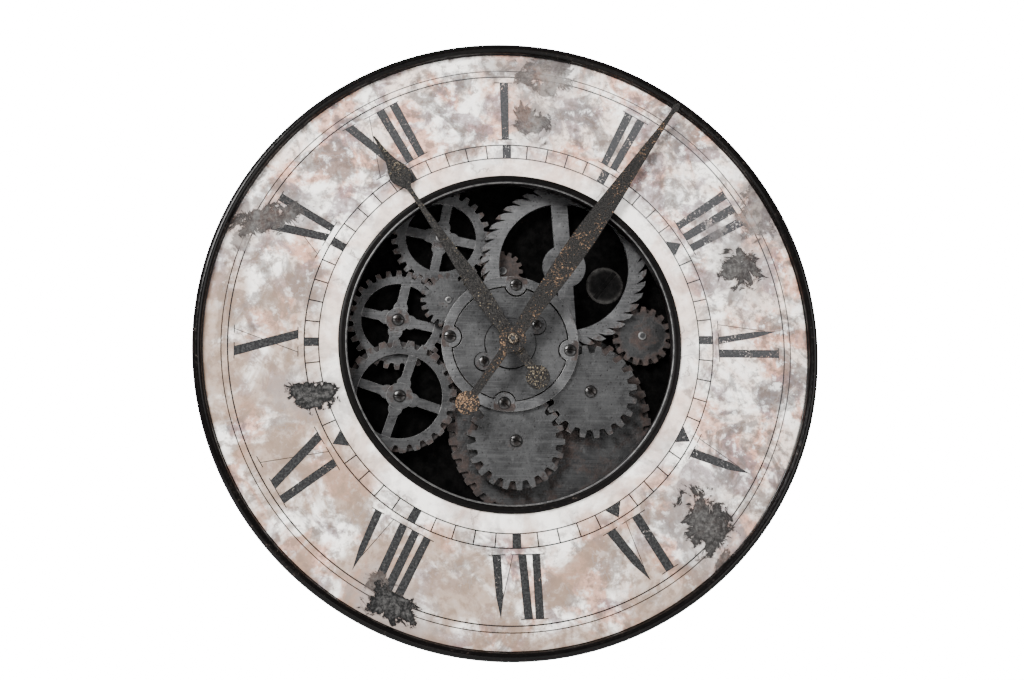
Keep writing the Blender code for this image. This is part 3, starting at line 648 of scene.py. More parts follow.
PLASTER = plaster()
INK = dial_ink("flaked_ink", -0.01, 0.0105)
FINE_INK = dial_ink("fine_ink", -0.06, 0.0060)
RIM_BLACK = worn_black("rim_enamel", rgb(0.012, 0.009, 0.008), 0.12, 0.22, sheen=0.16)
BEZEL_BLACK = worn_black("bezel_enamel", rgb(0.008, 0.006, 0.005), 0.30, 0.46, sheen=0.10)
# Painted shade: black enamel on the drum, darkened further and given almost no sheen so its wall inside the opening
# reads as deep shade.
DRUM_BLACK = worn_black("drum_enamel_and_shade", rgb(0.006, 0.005, 0.005), 0.55, 0.80, metal=0.0, sheen=0.02)
CAST = cast_paint("cast_plate", 0.24)
CAST_SCREW = cast_paint("cast_screw", 0.62, 0.07)
BRASS = brushed_brass("dull_brass", 0.50)
# The opening's wire: dark steel whose pale rounded faces also paint the highlight line on the lip.
WIRE = worn_steel("bare_wire_and_highlight", (0.0, 0.0), None, None, 0.0, 0.16, 0.75, 0.0)
# Rings behind the teeth: rust, darkened as a painted shade for the tooth gaps.
TOOTH_RUST_AND_SHADE = worn_steel("tooth_rust_and_shade", (0.0, 0.0), None, None, 0.0, 0.62, 0.42, 0.0)
SEATS = [(*at, 0.0104) for at in places(*RING_SCREWS)]
COVER_SEATS = [(*at, 0.0086) for at in places(*COVER_SCREWS)]
RING_STEEL = worn_steel("centre_ring_steel", (0.0, 0.0), 0.0640, 0.0690, 0.0, 0.20, 1.75, 0.2, SEATS)
DISC_STEEL = worn_steel("centre_disc_steel", (0.0, 0.0), None, None, 0.0, 0.22, 1.15, 0.2,
                        SEATS + COVER_SEATS)
COVER_STEEL = worn_steel("cover_steel", (0.0, 0.0), None, None, 0.009, 0.22, 1.05, 0.2, COVER_SEATS)
WARM_GILT, GREY_GILT = rgb(0.330, 0.200, 0.115), rgb(0.270, 0.220, 0.145)
NUT_GILT = hand_paint("nut_gilt", (0.0, 0.0), 0.0050, rgb(0.300, 0.235, 0.165), 0.0875)
SCREW_BLACK = screw_black("screw_black")
STUD_STEEL = worn_steel("stud_steel", (0.0, 0.0), None, None, 0.0, 0.42, 0.8, 0.0)
ZINC = sheet_zinc("plated_sheet")
SHELL = moulded("movement_shell", 0.018, 0.52)
KNOB = moulded("knob_plastic", 0.026, 0.42, 1200.0, 0.0001)
RUBBER = moulded("pad_rubber", 0.022, 0.85, 700.0, 0.0002)
JACKET = moulded("cell_wrap", 0.05, 0.34, 1500.0, 0.00003, (0.045, 0.115, 0.085, 1.0))


# ---- case and dial ---------------------------------------------------------------------
def rim():
    """The half-round case ring, its side wall and the flange it ends in."""
    bead_r, bead_mid, top = 0.0045, 0.3000, 0.0035
    bead = [(bead_mid + bead_r * math.cos(math.radians(a)), top + bead_r * math.sin(math.radians(a)))
            for a in range(0, 181, 15)]
    profile = bead + [(0.2954, 0.0029), (0.2951, 0.0024), (0.2947, 0.0022), (0.2945, 0.0018),
                      (0.2945, 0.0004), (0.2987, 0.0003), (0.2988, -0.0020), (0.3023, -0.0030),
                      (0.3033, -0.0045), (0.3033, -0.0548),
                      (0.3028, -0.0553), (0.2840, -0.0553), (0.2840, -0.0565), (0.3037, -0.0565),
                      (0.3043, -0.0561), (0.3045, -0.0553), (0.3045, 0.0028)]
    profile.append(profile[0])
    done(spun(profile, sides=288), "rim_case", "case", RIM_BLACK, ["rim_ring"])


def dial():
    hole, edge = 0.1601, 0.2985
    profile = [(hole, -0.0002), (hole + 0.0002, 0.0), (0.1900, 0.0), (0.2300, 0.0), (edge - 0.0002, 0.0),
               (edge, -0.0002), (edge, -0.0050), (hole, -0.0050)]
    profile.append(profile[0])
    done(spun(profile, sides=240), "dial_face", "case", PLASTER, ["dial_plate"])


def bezel():
    """A black lip round the opening, with a fine pale wire let into its inner corner, whose pale tone also paints
    the lip's highlight line.
    """
    profile = [(0.1675, 0.0003), (0.1674, 0.0014), (0.1669, 0.0021), (0.1659, 0.0025), (0.1640, 0.0027),
               (0.1622, 0.0026), (0.1612, 0.0022), (0.1585, 0.0012), (0.1585, -0.0080), (0.1598, -0.0080),
               (0.1598, 0.0003)]
    profile.append(profile[0])
    done(spun(profile, sides=240), "opening_lip", "case", BEZEL_BLACK, ["opening_bezel"])
    # The wire's pale tone is partly a painted highlight for the lip's edge.
    wire = [(0.1598 + 0.0009 * math.sin(math.radians(a)), 0.0023 + 0.0009 * math.cos(math.radians(a)))
            for a in range(0, 360, 30)]
    wire.append(wire[0])
    done(spun(wire, sides=240), "opening_wire", "case", WIRE)


def drum():
    profile = [(0.2200, -0.0053), (0.2200, -0.0065), (0.2078, -0.0065), (0.2070, -0.0070), (0.2062, -0.0080),
               (0.2062, -0.0380), (0.2056, -0.0388), (0.1960, -0.0388), (0.1960, -0.0376), (0.2050, -0.0376),
               (0.2050, -0.0053)]
    profile.append(profile[0])
    # The drum's finish is near-black with almost no sheen: painted shade for the inside of the opening.
    done(spun(profile, sides=200), "drum_shell", "case", DRUM_BLACK, ["drum_wall"])


# The numerals: strokes at (offset, width) at the head and at the foot, fine strokes, and serifs, all in
# millimetres to the right of the place's own line; V stands for a stroke that comes to a point.
HEAD, FOOT = 265.4, 205.4
NUMERALS = {
    0: dict(bars=[(-1.2, 8.6, -1.2, 7.4)], head=[(-11, 7)], foot=[(-9, 6.5)], mark="bar"),
    1: dict(bars=[(-8.2, 8.8, -5.4, 7.2), (5.6, 8.6, 5.0, 7.6)], head=[(-15.5, 14)], foot=[(-12, 12)],
            mark="bar"),
    2: dict(bars=[(-19.5, 9.4, -15.6, 7.4), (-3.0, 9.4, -2.4, 8.2), (12.6, 9.2, 10.2, 7.8)], head=[(-30, 19)],
            foot=[(-23, 19)], mark="point"),
    3: dict(bars=[(14.4, 8.0, 13.4, 8.2)], wedges=[(-8.4, 0.4, 7.4)], hairs=[(-8.8, 0.82, -15.6, 0.0)],
            head=[(8, 21)], foot=[(-19.5, -11), (-7, 22)], mark="bar"),
    4: dict(wedges=[(0.0, 9.8, 9.2)], hairs=[(-0.4, 0.82, -6.0, 0.0)], head=[], foot=[(-11, -1), (2, 17)],
            mark="point"),
    5: dict(bars=[(-15.5, 9.2, -14.4, 9.0)], wedges=[(6.2, 14.2, 9.6)], hairs=[(5.6, 0.82, -3.0, 0.0)],
            head=[(-25, -6)], foot=[(-25, 2), (7, 23)], mark="point"),
    6: dict(bars=[(-20.0, 8.2, -18.0, 7.6), (-9.4, 8.2, -4.8, 7.8)], wedges=[(16.8, 19.6, 8.4)],
            hairs=[(16.2, 0.82, 4.0, 0.0)], head=[(-28, -2)], foot=[(-26, 5.5), (11.5, 27)], mark="bar"),
    7: dict(bars=[(-23.6, 8.4, -21.2, 7.6), (-12.2, 8.6, -8.6, 7.8), (-0.6, 8.6, 4.4, 7.8)],
            wedges=[(25.6, 31.0, 7.6)], hairs=[(25.2, 0.80, 15.0, 0.0)], head=[(-24, 5)],
            foot=[(-28, 18.5), (25, 38)], mark="bar"),
    8: dict(bars=[(-20.4, 8.6, -15.2, 8.0), (-4.0, 9.4, 14.0, 8.8)], hairs=[(20.2, 1.0, -3.4, 0.0)],
            head=[(-29, 3), (15, 27)], foot=[(-24, -8), (-8, 1.5), (5, 24)], mark="point"),
    9: dict(bars=[(-8.4, 9.4, 7.6, 8.6)], hairs=[(13.2, 1.0, -10.0, 0.0)], head=[(-16, 0), (9, 17)],
            foot=[(-14.5, -4.5), (2, 14.5)], mark="bar"),
    10: dict(bars=[(-18.2, 9.4, 0.6, 8.4), (13.2, 8.2, 11.0, 7.6)], hairs=[(7.4, 1.0, -18.4, 0.0)],
             head=[(-26, -12), (2, 20)], foot=[(-23, -13), (-9, 18.5)], mark="bar"),
    11: dict(bars=[(-27.4, 9.6, -5.6, 8.6), (8.0, 8.8, 7.4, 8.2), (23.0, 8.8, 20.2, 8.0)],
             hairs=[(-4.4, 1.0, -26.6, 0.0)], head=[(-35, -20), (-10, 29)],
             foot=[(-31.5, -21), (-3, 27)], mark="bar"),
}
MM = 0.001
PRINT_TOP, PRINT_LOW = 0.00009, -0.00012


def stroke(head_x, head_y, head_wide, foot_x, foot_y, foot_wide, lift=0.0):
    """A straight stroke of the print: a thin bar whose two ends are slid and widened to their places."""
    piece = slab(1.0, 1.0, PRINT_TOP + lift, PRINT_LOW, (0.0, 0.0))
    for end, x, y, wide in ((0.5, head_x, head_y, head_wide), (-0.5, foot_x, foot_y, foot_wide)):
        pick(piece, lambda co, end=end: co.y * end > 0.0)
        bpy.ops.transform.resize(value=(max(wide, 0.02) * MM, 1.0, 1.0), center_override=(0.0, end, 0.0))
        bpy.ops.transform.translate(value=(x * MM, y * MM - end, 0.0))
        edit_done()
    return piece


def turned_to(piece, degrees):
    piece.rotation_euler = (0.0, 0.0, math.radians(-degrees))
    return place_at(piece)


def numeral(place):
    spec = NUMERALS[place]
    strokes = []
    for count, (head_x, head_wide, foot_x, foot_wide) in enumerate(spec.get("bars", ())):
        strokes.append(stroke(head_x, HEAD, head_wide, foot_x, FOOT, foot_wide, 0.000004 * count))
    for head_x, foot_x, foot_wide in spec.get("wedges", ()):
        waist_x = head_x + (foot_x - head_x) * 0.42
        strokes.append(stroke(head_x, HEAD - 1.0, 0.2, waist_x - 0.6, FOOT + 38.0, foot_wide * 0.86,
                              0.000012))
        strokes.append(stroke(waist_x - 0.6, FOOT + 38.0, foot_wide * 0.86, foot_x, FOOT, foot_wide,
                              0.000012))
    for head_x, share, foot_x, _ in spec.get("hairs", ()):
        top = FOOT + (HEAD - FOOT) * (1.0 if share == 1.0 else 0.80)
        strokes.append(stroke(head_x, top, 0.75, foot_x, FOOT, 0.75, 0.000020))
    for y, spans in ((HEAD, spec["head"]), (FOOT, spec["foot"])):
        for start, end in spans:
            middle = (start + end) / 2.0
            strokes.append(stroke(middle, y + 0.45, end - start, middle, y - 0.45, end - start, 0.000028))
    whole = turned_to(joined(strokes), 30.0 * place + DIAL_TURN)
    done(whole, "numeral_%02d" % (place if place else 12), "case", INK)
    if spec["mark"] == "bar":
        mark = stroke(0.0, 199.0, 8.6, 0.0, 186.4, 8.4)
    else:
        mark = stroke(1.0, 198.6, 0.4, 0.0, 186.4, 17.5)
    mark = turned_to(mark, 30.0 * place + DIAL_TURN)
    done(mark, "track_mark_%02d" % (place if place else 12), "case", INK)


def printed_circle(radius, wide):
    low, high = (radius - wide / 2.0) * MM, (radius + wide / 2.0) * MM
    profile = [(high, PRINT_TOP - 0.00002), (low, PRINT_TOP - 0.00002), (low, PRINT_LOW), (high, PRINT_LOW)]
    profile.append(profile[0])
    return spun(profile, sides=216)


def dial_print():
    circles = [printed_circle(radius, wide)
               for radius, wide in ((277.8, 1.0), (271.6, 1.3), (199.6, 1.25), (185.9, 1.15))]
    done(joined(circles), "printed_circles", "case", FINE_INK)
    ticks = [turned_to(stroke(0.0, 199.4, 1.25, 0.0, 186.0, 1.25, 0.00001), 6.0 * step + DIAL_TURN)
             for step in range(60) if step % 5]
    done(joined(ticks), "printed_minutes", "case", FINE_INK)
    for place in NUMERALS:
        numeral(place)


# ---- wheel work ----------------------------------------------------------------------------
def draw_teeth(blank, at, teeth, root, tip, turn, outline):
    """Draw a round blank's edge out into teeth. The outline gives, for each point of one pitch, the share
    of the pitch it is slid to and its height from root to tip."""
    pitch = 360.0 / teeth
    steps = len(outline)
    for step, (share, height) in enumerate(outline):

        def chosen(co, step=step):
            angle = math.degrees(math.atan2(co.x - at[0], co.y - at[1])) - turn
            return round(angle / pitch * steps) % steps == step

        pick(blank, chosen)
        grow = 1.0 + (tip - root) * height / root
        bpy.ops.transform.resize(value=(grow, grow, 1.0), center_override=(at[0], at[1], 0.0))
        edit_done()
    for step, (share, height) in enumerate(outline):
        swing = math.radians((share - step / steps) * pitch)
        if abs(swing) < 0.00001:
            continue
        group = blank.vertex_groups.new(name="step_%d" % step)
        members = []
        for vertex in blank.data.vertices:
            angle = math.degrees(math.atan2(vertex.co.x - at[0], vertex.co.y - at[1])) - turn
            if round(angle / pitch * steps) % steps == step:
                members.append(vertex.index)
        group.add(members, 1.0, "ADD")
    for step, (share, height) in enumerate(outline):
        group = blank.vertex_groups.get("step_%d" % step)
        if not group:
            continue
        pick(blank, lambda co: False)
        blank.vertex_groups.active = group
        bpy.ops.object.vertex_group_select()
        # With no window a positive turn goes clockwise seen from the front.
        swing = math.radians((share - step / steps) * pitch)
        bpy.ops.transform.rotate(value=swing, orient_axis="Z", center_override=(at[0], at[1], 0.0))
        edit_done()
    blank.vertex_groups.clear()
    return blank


def tooth_outline(tip_share, root_share):
    """Points of one tooth from the middle of its tip to the next: corner, flank, foot and root."""
    tip_half, root_half = tip_share / 2.0, root_share / 2.0
    flank = tip_half + (root_half - tip_half) * 0.46
    side = [(0.0, 1.0), (tip_half, 0.985), (flank, 0.56), (root_half, 0.07)]
    return side + [(0.5, 0.0)] + [(1.0 - share, height) for share, height in side[:0:-1]]


def toothed_blank(at, teeth, tip, root, front, back, turn, shares=(0.36, 0.60)):
    """A round blank whose teeth are drawn out of its edge."""
    outline = tooth_outline(*shares)
    blank = rod(root, front, back, at, teeth * len(outline), turn)
    return draw_teeth(blank, at, teeth, root, tip, turn, outline)


def fan_ends(piece):
    """Divide a solid wheel's two ends into a fan about its middle."""
    take(piece)
    for face in piece.data.polygons:
        face.select = abs(face.normal.z) > LEVEL
    bpy.ops.object.mode_set(mode="EDIT")
    bpy.ops.mesh.select_mode(type="FACE")
    bpy.ops.mesh.poke()
    edit_done()


def spoked(blank, at, front, back, window, hub, spoke, turn):
    """Open a wheel between its arms, leaving the rim, four arms and a hub."""
    combine(blank, rod(window, front + 0.01, back - 0.01, at, 128), "DIFFERENCE")
    cross = slab(spoke, window * 2.0 + 0.003, front - 0.0003, back + 0.0003, at, turn)
    other = slab(window * 2.0 + 0.003, spoke, front - 0.0003, back + 0.0003, at, turn)
    combine(cross, other, "UNION")
    for arm in range(4):
        foot = rod(spoke * 0.78, front - 0.0003, back + 0.0003, polar_from(at, hub, turn + 90.0 * arm), 24)
        combine(cross, foot, "UNION")
    combine(cross, rod(hub, front, back, at, 64), "UNION")
    return combine(blank, cross, "UNION")


WHEELS = {
    # name: place, teeth, tip, root, front, back, turn, bore, window, hub, spoke, spoke turn, rust, shade
    "upper_wheel": ((-0.0682, 0.1093), 28, 0.04985, 0.0436, -0.0265, -0.0310, 206.1 + 180 / 28, 0.0043,
                    0.0352, 0.0112, 0.0092, 10.5, 0.36, 1.25),
    "middle_wheel": ((-0.1098, 0.0244), 28, 0.04985, 0.0436, -0.0265, -0.0310, 26.1, 0.0043,
                     0.0362, 0.0120, 0.0090, 12.0, 0.40, 1.20),
    "lower_wheel": ((-0.1072, -0.0524), 24, 0.0556, 0.0483, -0.0215, -0.0255, 146.0, 0.0043,
                    0.0416, 0.0130, 0.0088, 18.0, 0.38, 0.92),
    "left_pinion": ((-0.0609, 0.0431), 20, 0.0274, 0.0216, -0.0160, -0.0205, 269.0, 0.0025,
                    None, None, None, None, 0.34, 1.0),
    "right_pinion": ((0.1342, 0.0133), 17, 0.0301, 0.0240, -0.0265, -0.0310, 194.6, 0.0033,
                     None, None, None, None, 0.50, 0.62),
    "right_wheel": ((0.0798, -0.0458), 20, 0.0462, 0.0380, -0.0160, -0.0205, 245.1, 0.0043,
                    None, None, None, None, 0.26, 0.92),
    "bottom_wheel": ((0.0061, -0.0954), 21, 0.0480, 0.0390, -0.0160, -0.0205, 56.1, 0.0043,
                     None, None, None, None, 0.28, 1.0),
    "rear_pinion": ((-0.0058, 0.0780), 16, 0.0205, 0.0165, -0.0320, -0.0355, 0.0, 0.0033,
                    None, None, None, None, 0.60, 0.7),
}
RUN = 0.0003
MESHED = ("upper_wheel", "middle_wheel", "right_wheel", "bottom_wheel")
# Wheels with a thin ring behind their teeth, rusty and dark enough to paint the shade in the tooth gaps.
BACKED = ("lower_wheel", "bottom_wheel", "right_pinion")


def bored(piece, at, bore, front, back, width=0.00045):
    combine(piece, rod(bore, front + 0.01, back - 0.01, at, 48), "DIFFERENCE")
    return soften(piece, width, 3, 32.0)


def tooth_backing(name, body, at, inner, outer, front):
    """A thin ring carried on a wheel's back, which closes the spaces between its teeth; its dark rusty finish also
    paints the shade there.
    """
    profile = [(inner, front), (outer, front), (outer, front - 0.0005), (inner, front - 0.0005),
               (inner, front)]
    done(spun(profile, at, 144), name + "_backing", body, TOOTH_RUST_AND_SHADE)


def wheels():
    for name, (at, teeth, tip, root, front, back, turn, bore, window, hub, spoke, spoke_turn, rusty,
               shade) in WHEELS.items():
        shares = (0.36, 0.60) if name in MESHED else (0.42, 0.70)
        piece = toothed_blank(at, teeth, tip, root, front, back, turn, shares)
        if not window:
            fan_ends(piece)
        if window:
            spoked(piece, at, front, back, window, hub, spoke, spoke_turn)
        bored(piece, at, bore, front, back)
        finish = worn_steel(name + "_steel", at, root, tip, 0.008, rusty, shade)
        done(piece, name + "_plate", name, finish, [name])
        if name in BACKED:
            tooth_backing(name, name, at, root - 0.004, tip - 0.0014, back - 0.0001)


def saw_wheel():
    """The big ring wheel: hooked teeth, one broad bar and a hub disc."""
    at, teeth, tip, root, window = (0.0551, 0.0815), 42, 0.0839, 0.0747, 0.0655
    front, back, turn, steps = -0.0215, -0.0255, 137.0, 6
    hook = ((0.00, 0.00), (-0.26, 0.52), (-0.46, 1.00), (-0.06, 0.97), (0.42, 0.62), (0.74, 0.24))
    piece = rod(root, front, back, at, teeth * steps, turn)
    draw_teeth(piece, at, teeth, root, tip, turn, hook)
    combine(piece, rod(window, front + 0.01, back - 0.01, at, 160), "DIFFERENCE")
    bar = slab(0.0152, window * 2.0 + 0.004, front - 0.0003, back + 0.0003, at, -3.7)
    pick(bar, lambda co: co.y > at[1])
    bpy.ops.transform.resize(value=(1.10, 1.0, 1.0), center_override=(at[0], at[1] + window, front))
    edit_done()
    combine(bar, rod(0.0218, front, back, at, 96), "UNION")
    combine(piece, bar, "UNION")
    bored(piece, at, 0.0043, front, back)
    finish = worn_steel("saw_wheel_steel", at, root, tip, 0.010, 0.28, 1.75)
    done(piece, "saw_wheel_plate", "saw_wheel", finish, ["saw_wheel"])


def base_wheel():
    at, front, back = (0.0412, -0.0767), -0.0320, -0.0355
    piece = toothed_blank(at, 44, 0.1014, 0.0934, front, back, 243.0, (0.42, 0.68))
    combine(piece, rod(0.0053, front + 0.01, back - 0.01, (0.0, 0.0), 48), "DIFFERENCE")
    soften(piece, 0.0005, 3, 32.0)
    finish = worn_steel("base_wheel_steel", at, 0.0934, 0.1014, 0.02, 0.56, 0.80)
    done(piece, "base_wheel_plate", "case", finish, ["base_wheel"])
    tooth_backing("base_wheel", "case", at, 0.0926, 0.0998, back + 0.0008)


def back_plate():
    piece = rod(0.2046, -0.0358, -0.0373, (0.0, 0.0), 192)
    combine(piece, rod(0.0053, -0.03, -0.04, (0.0, 0.0), 48), "DIFFERENCE")
    soften(piece, 0.0003, 2)
    done(piece, "cast_back_plate", "case", CAST, ["back_plate"])


def screw_head(at, seat, radius, height, slot_turn):
    """A round screw head with rounded shoulders and a slot sawn across it."""
    top = seat + height
    profile = [(radius * across, top - height * down) for across, down in
               ((0.16, 0.0), (0.36, 0.07), (0.55, 0.18), (0.72, 0.34),
                (0.86, 0.54), (0.96, 0.78), (1.0, 1.0))]
    head = spun(profile, at, 48)
    combine(head, slab(radius * 3.0, radius * 0.24, top + 0.002, top - height * 0.62, at, slot_turn),
            "DIFFERENCE")
    return soften(head, radius * 0.035, 2, 34.0)


def fitted_screw(name, node, at, seat, radius, height, slot_turn, shank_r, shank, finish=None):
    head = screw_head(at, seat, radius, height, slot_turn)
    if shank > 0.0005:
        head = joined([head, soften(rod(shank_r, seat - 0.00002, seat - shank, at, 32), 0.0002, 2)])
    done(head, name, "case", finish or SCREW_BLACK, [node])


def screws():
    fitted_screw("plate_screw_head", "back_plate_screw", (0.0983, 0.0661), -0.0355, 0.0191, 0.0028, 128.0,
                 0.004, 0.0, CAST_SCREW)
    for name, turn in (("middle_wheel", 0.0), ("lower_wheel", 0.0), ("right_wheel", 42.0),
                       ("bottom_wheel", 20.0)):
        at, front = WHEELS[name][0], WHEELS[name][4]
        fitted_screw(name + "_fixing", name + "_screw", at, front + 2.0 * RUN, 0.0062, 0.0020, turn, 0.0015,
                     0.0075)
    for index, at in enumerate(places(*RING_SCREWS)):
        fitted_screw("ring_fixing_%d" % (index + 1), "ring_screw_%d" % (index + 1), at, -0.0117, 0.0062,
                     0.0018, 40.0 if index == 2 else 0.0, 0.0020, 0.0040)
    for index, at in enumerate(places(*COVER_SCREWS)):
        fitted_screw("cover_fixing_%d" % (index + 1), "cover_screw_%d" % (index + 1), at, -0.0101, 0.0052,
                     0.0016, 40.0 * (index + 1), 0.0016, 0.0040)


def studs():
    """The studs that the wheels turn on: a journal, a shoulder behind it and, on five, a riveted end."""
    spots = {name: spec[0] for name, spec in WHEELS.items()}
    spots["saw_wheel"] = (0.0551, 0.0815)
    layers = {name: (spec[4], spec[5], spec[7]) for name, spec in WHEELS.items()}
    layers["saw_wheel"] = (-0.0215, -0.0255, 0.0043)
    for name, at in spots.items():
        front, back, bore = layers[name]
        floor = -0.0317 if name in ("right_wheel", "bottom_wheel") else -0.0355
        journal = bore - RUN
        step = back - RUN
        top = front + RUN
        if name in ("middle_wheel", "lower_wheel", "right_wheel", "bottom_wheel"):
            profile = [(0.0019, top - 0.0084), (0.0019, top), (journal, top)]
            start = [(0.0019, top - 0.0084)]
        else:
            head = journal + 0.0012
            profile = [(head * 0.45, top + 0.0012), (head * 0.80, top + 0.0010), (head * 0.97, top + 0.0006),
                       (head, top + 0.0001), (head * 0.985, top), (journal, top)]
            start = []
        if step > floor + 0.0005 and name != "left_pinion":
            profile += [(journal, step), (journal + 0.0024, step), (journal + 0.0024, floor)]
        else:
            profile += [(journal, floor)]
        piece = spun(profile, at, 48)
        if not start:
            soften(piece, 0.0001, 1, 50.0)
        done(piece, name + "_arbor", "case", STUD_STEEL, [name + "_stud"])
    for name, at, floor in (("pillar_1", (-0.033, 0.024), -0.0355), ("pillar_2", (-0.028, -0.033), -0.0317),
                            ("pillar_3", (0.028, -0.033), -0.0317)):
        top = -0.0148
        profile = [(0.0035, top), (0.0040, top - 0.0005), (0.0040, top - 0.003), (0.0034, top - 0.0036),
                   (0.0034, floor + 0.0036), (0.0040, floor + 0.003), (0.0040, floor)]
        done(spun(profile, at, 40), name + "_turned", "case", STUD_STEEL, [name])


# ---- centre plate ---------------------------------------------------------------------------
def drilled(piece, radius, spots, sides):
    """Drill a hole right through the centre plate's layers at each spot."""
    for at in spots:
        combine(piece, rod(radius, RING_FRONT + 0.02, RING_BACK - 0.02, at, sides), "DIFFERENCE")
    return piece


def lobed(radius, lobe, front, back):
    """The cover's outline: a disc with a round lobe under each of its screws."""
    piece = rod(radius, front, back, (0.0, 0.0), 128)
    for at in places(*COVER_SCREWS):
        combine(piece, rod(lobe, front, back, at, 64), "UNION")
    drilled(piece, 0.0053, [(0.0, 0.0)], 48)
    return drilled(piece, 0.0020, places(*COVER_SCREWS), 24)


def centre_plate():
    front, back, lug, inner = RING_FRONT, RING_BACK, 0.0105, 0.0580
    ring = rod(0.0675, front, back, (0.0, 0.0), 160)
    core = rod(inner, front + 0.01, back - 0.01, (0.0, 0.0), 160)
    combine(ring, drilled(core, lug, places(*RING_SCREWS), 64), "DIFFERENCE")
    soften(drilled(ring, 0.0024, places(*RING_SCREWS), 32), 0.0006, 3, 32.0)
    done(ring, "centre_ring_plate", "case", RING_STEEL, ["centre_ring"])

    disc = rod(inner - 0.0015, front - 0.0008, back, (0.0, 0.0), 160)
    drilled(disc, lug + 0.0015, places(*RING_SCREWS), 64)
    drilled(disc, 0.0053, [(0.0, 0.0)], 48)
    soften(drilled(disc, 0.0020, places(*COVER_SCREWS), 24), 0.0004, 2, 32.0)
    done(disc, "centre_disc_plate", "case", DISC_STEEL, ["centre_disc"])

    bed = lobed(0.0257, 0.0097, front - 0.0002, front - 0.0010)
    done(bed, "cover_bed", "case", CAST)
    cover = soften(lobed(0.0248, 0.0088, front + 0.0016, front - 0.0001), 0.0005, 3, 32.0)
    done(cover, "centre_cover_plate", "case", COVER_STEEL, ["centre_cover"])


# ---- hands -----------------------------------------------------------------------------------
def smooth_rows(points, count):
    """Read more points off a run of (y, half width) points, on a smooth curve through them."""
    found = []
    for index in range(len(points) - 1):
        before = points[max(index - 1, 0)]
        start, end = points[index], points[index + 1]
        after = points[min(index + 2, len(points) - 1)]
        for step in range(count):
            t = step / count
            row = []
            for axis in range(2):
                m0 = (end[axis] - before[axis]) / 2.0
                m1 = (after[axis] - start[axis]) / 2.0
                value = ((2 * t**3 - 3 * t**2 + 1) * start[axis] + (t**3 - 2 * t**2 + t) * m0
                         + (-2 * t**3 + 3 * t**2) * end[axis] + (t**3 - t**2) * m1)
                row.append(value)
            found.append((row[0], max(row[1], 0.0002)))
    found.append(points[-1])
    return found


def hub_rows(radius):
    """Rows of a hand's round middle: the place along the hand and the half width there."""
    return [(radius * math.sin(math.radians(a)), radius * math.cos(math.radians(a)))
            for a in range(-60, 61, 8)]


def ball_rows(distance, radius, neck, ends=(-1.0, 1.0), count=22):
    """Rows of a round weight centred at y = distance, from one end to the other."""
    rows = []
    low = -math.acos(min(neck / radius, 1.0)) if ends[0] > -1.0 else -math.pi / 2.0
    high = math.acos(min(neck / radius, 1.0)) if ends[1] < 1.0 else math.pi / 2.0
    for step in range(count + 1):
        angle = low + (high - low) * step / count
        rows.append((distance + radius * math.sin(angle), max(radius * math.cos(angle), 0.0003)))
    return rows


def hand_blade(rows, back, thick, bore, angle):
    """A flat blade: rows drawn out to their own half widths, given a thickness and soft edges."""
    clear_selection()
    bpy.ops.mesh.primitive_grid_add(x_subdivisions=2, y_subdivisions=len(rows) - 1, size=1.0)
    piece = place_at(bpy.context.object)
    last = len(rows) - 1
    for vertex in piece.data.vertices:
        y, half = rows[round((vertex.co.y + 0.5) * last)]
        vertex.co.x = vertex.co.x * 2.0 * half
        vertex.co.y = y
        vertex.co.z = back
    take(piece)
    bpy.ops.object.mode_set(mode="EDIT")
    bpy.ops.mesh.select_all(action="SELECT")
    bpy.ops.mesh.normals_make_consistent(inside=False)
    edit_done()
    use(piece, "SOLIDIFY", thickness=thick, offset=1.0)
    piece.data.update()
    low = min(vertex.co.z for vertex in piece.data.vertices)
    for vertex in piece.data.vertices:
        vertex.co.z += back - low
    combine(piece, rod(bore, back + 0.01, back - 0.01, (0.0, 0.0), 40), "DIFFERENCE")
    soften(piece, 0.00045, 3, 40.0)
    return turned_to(piece, angle)


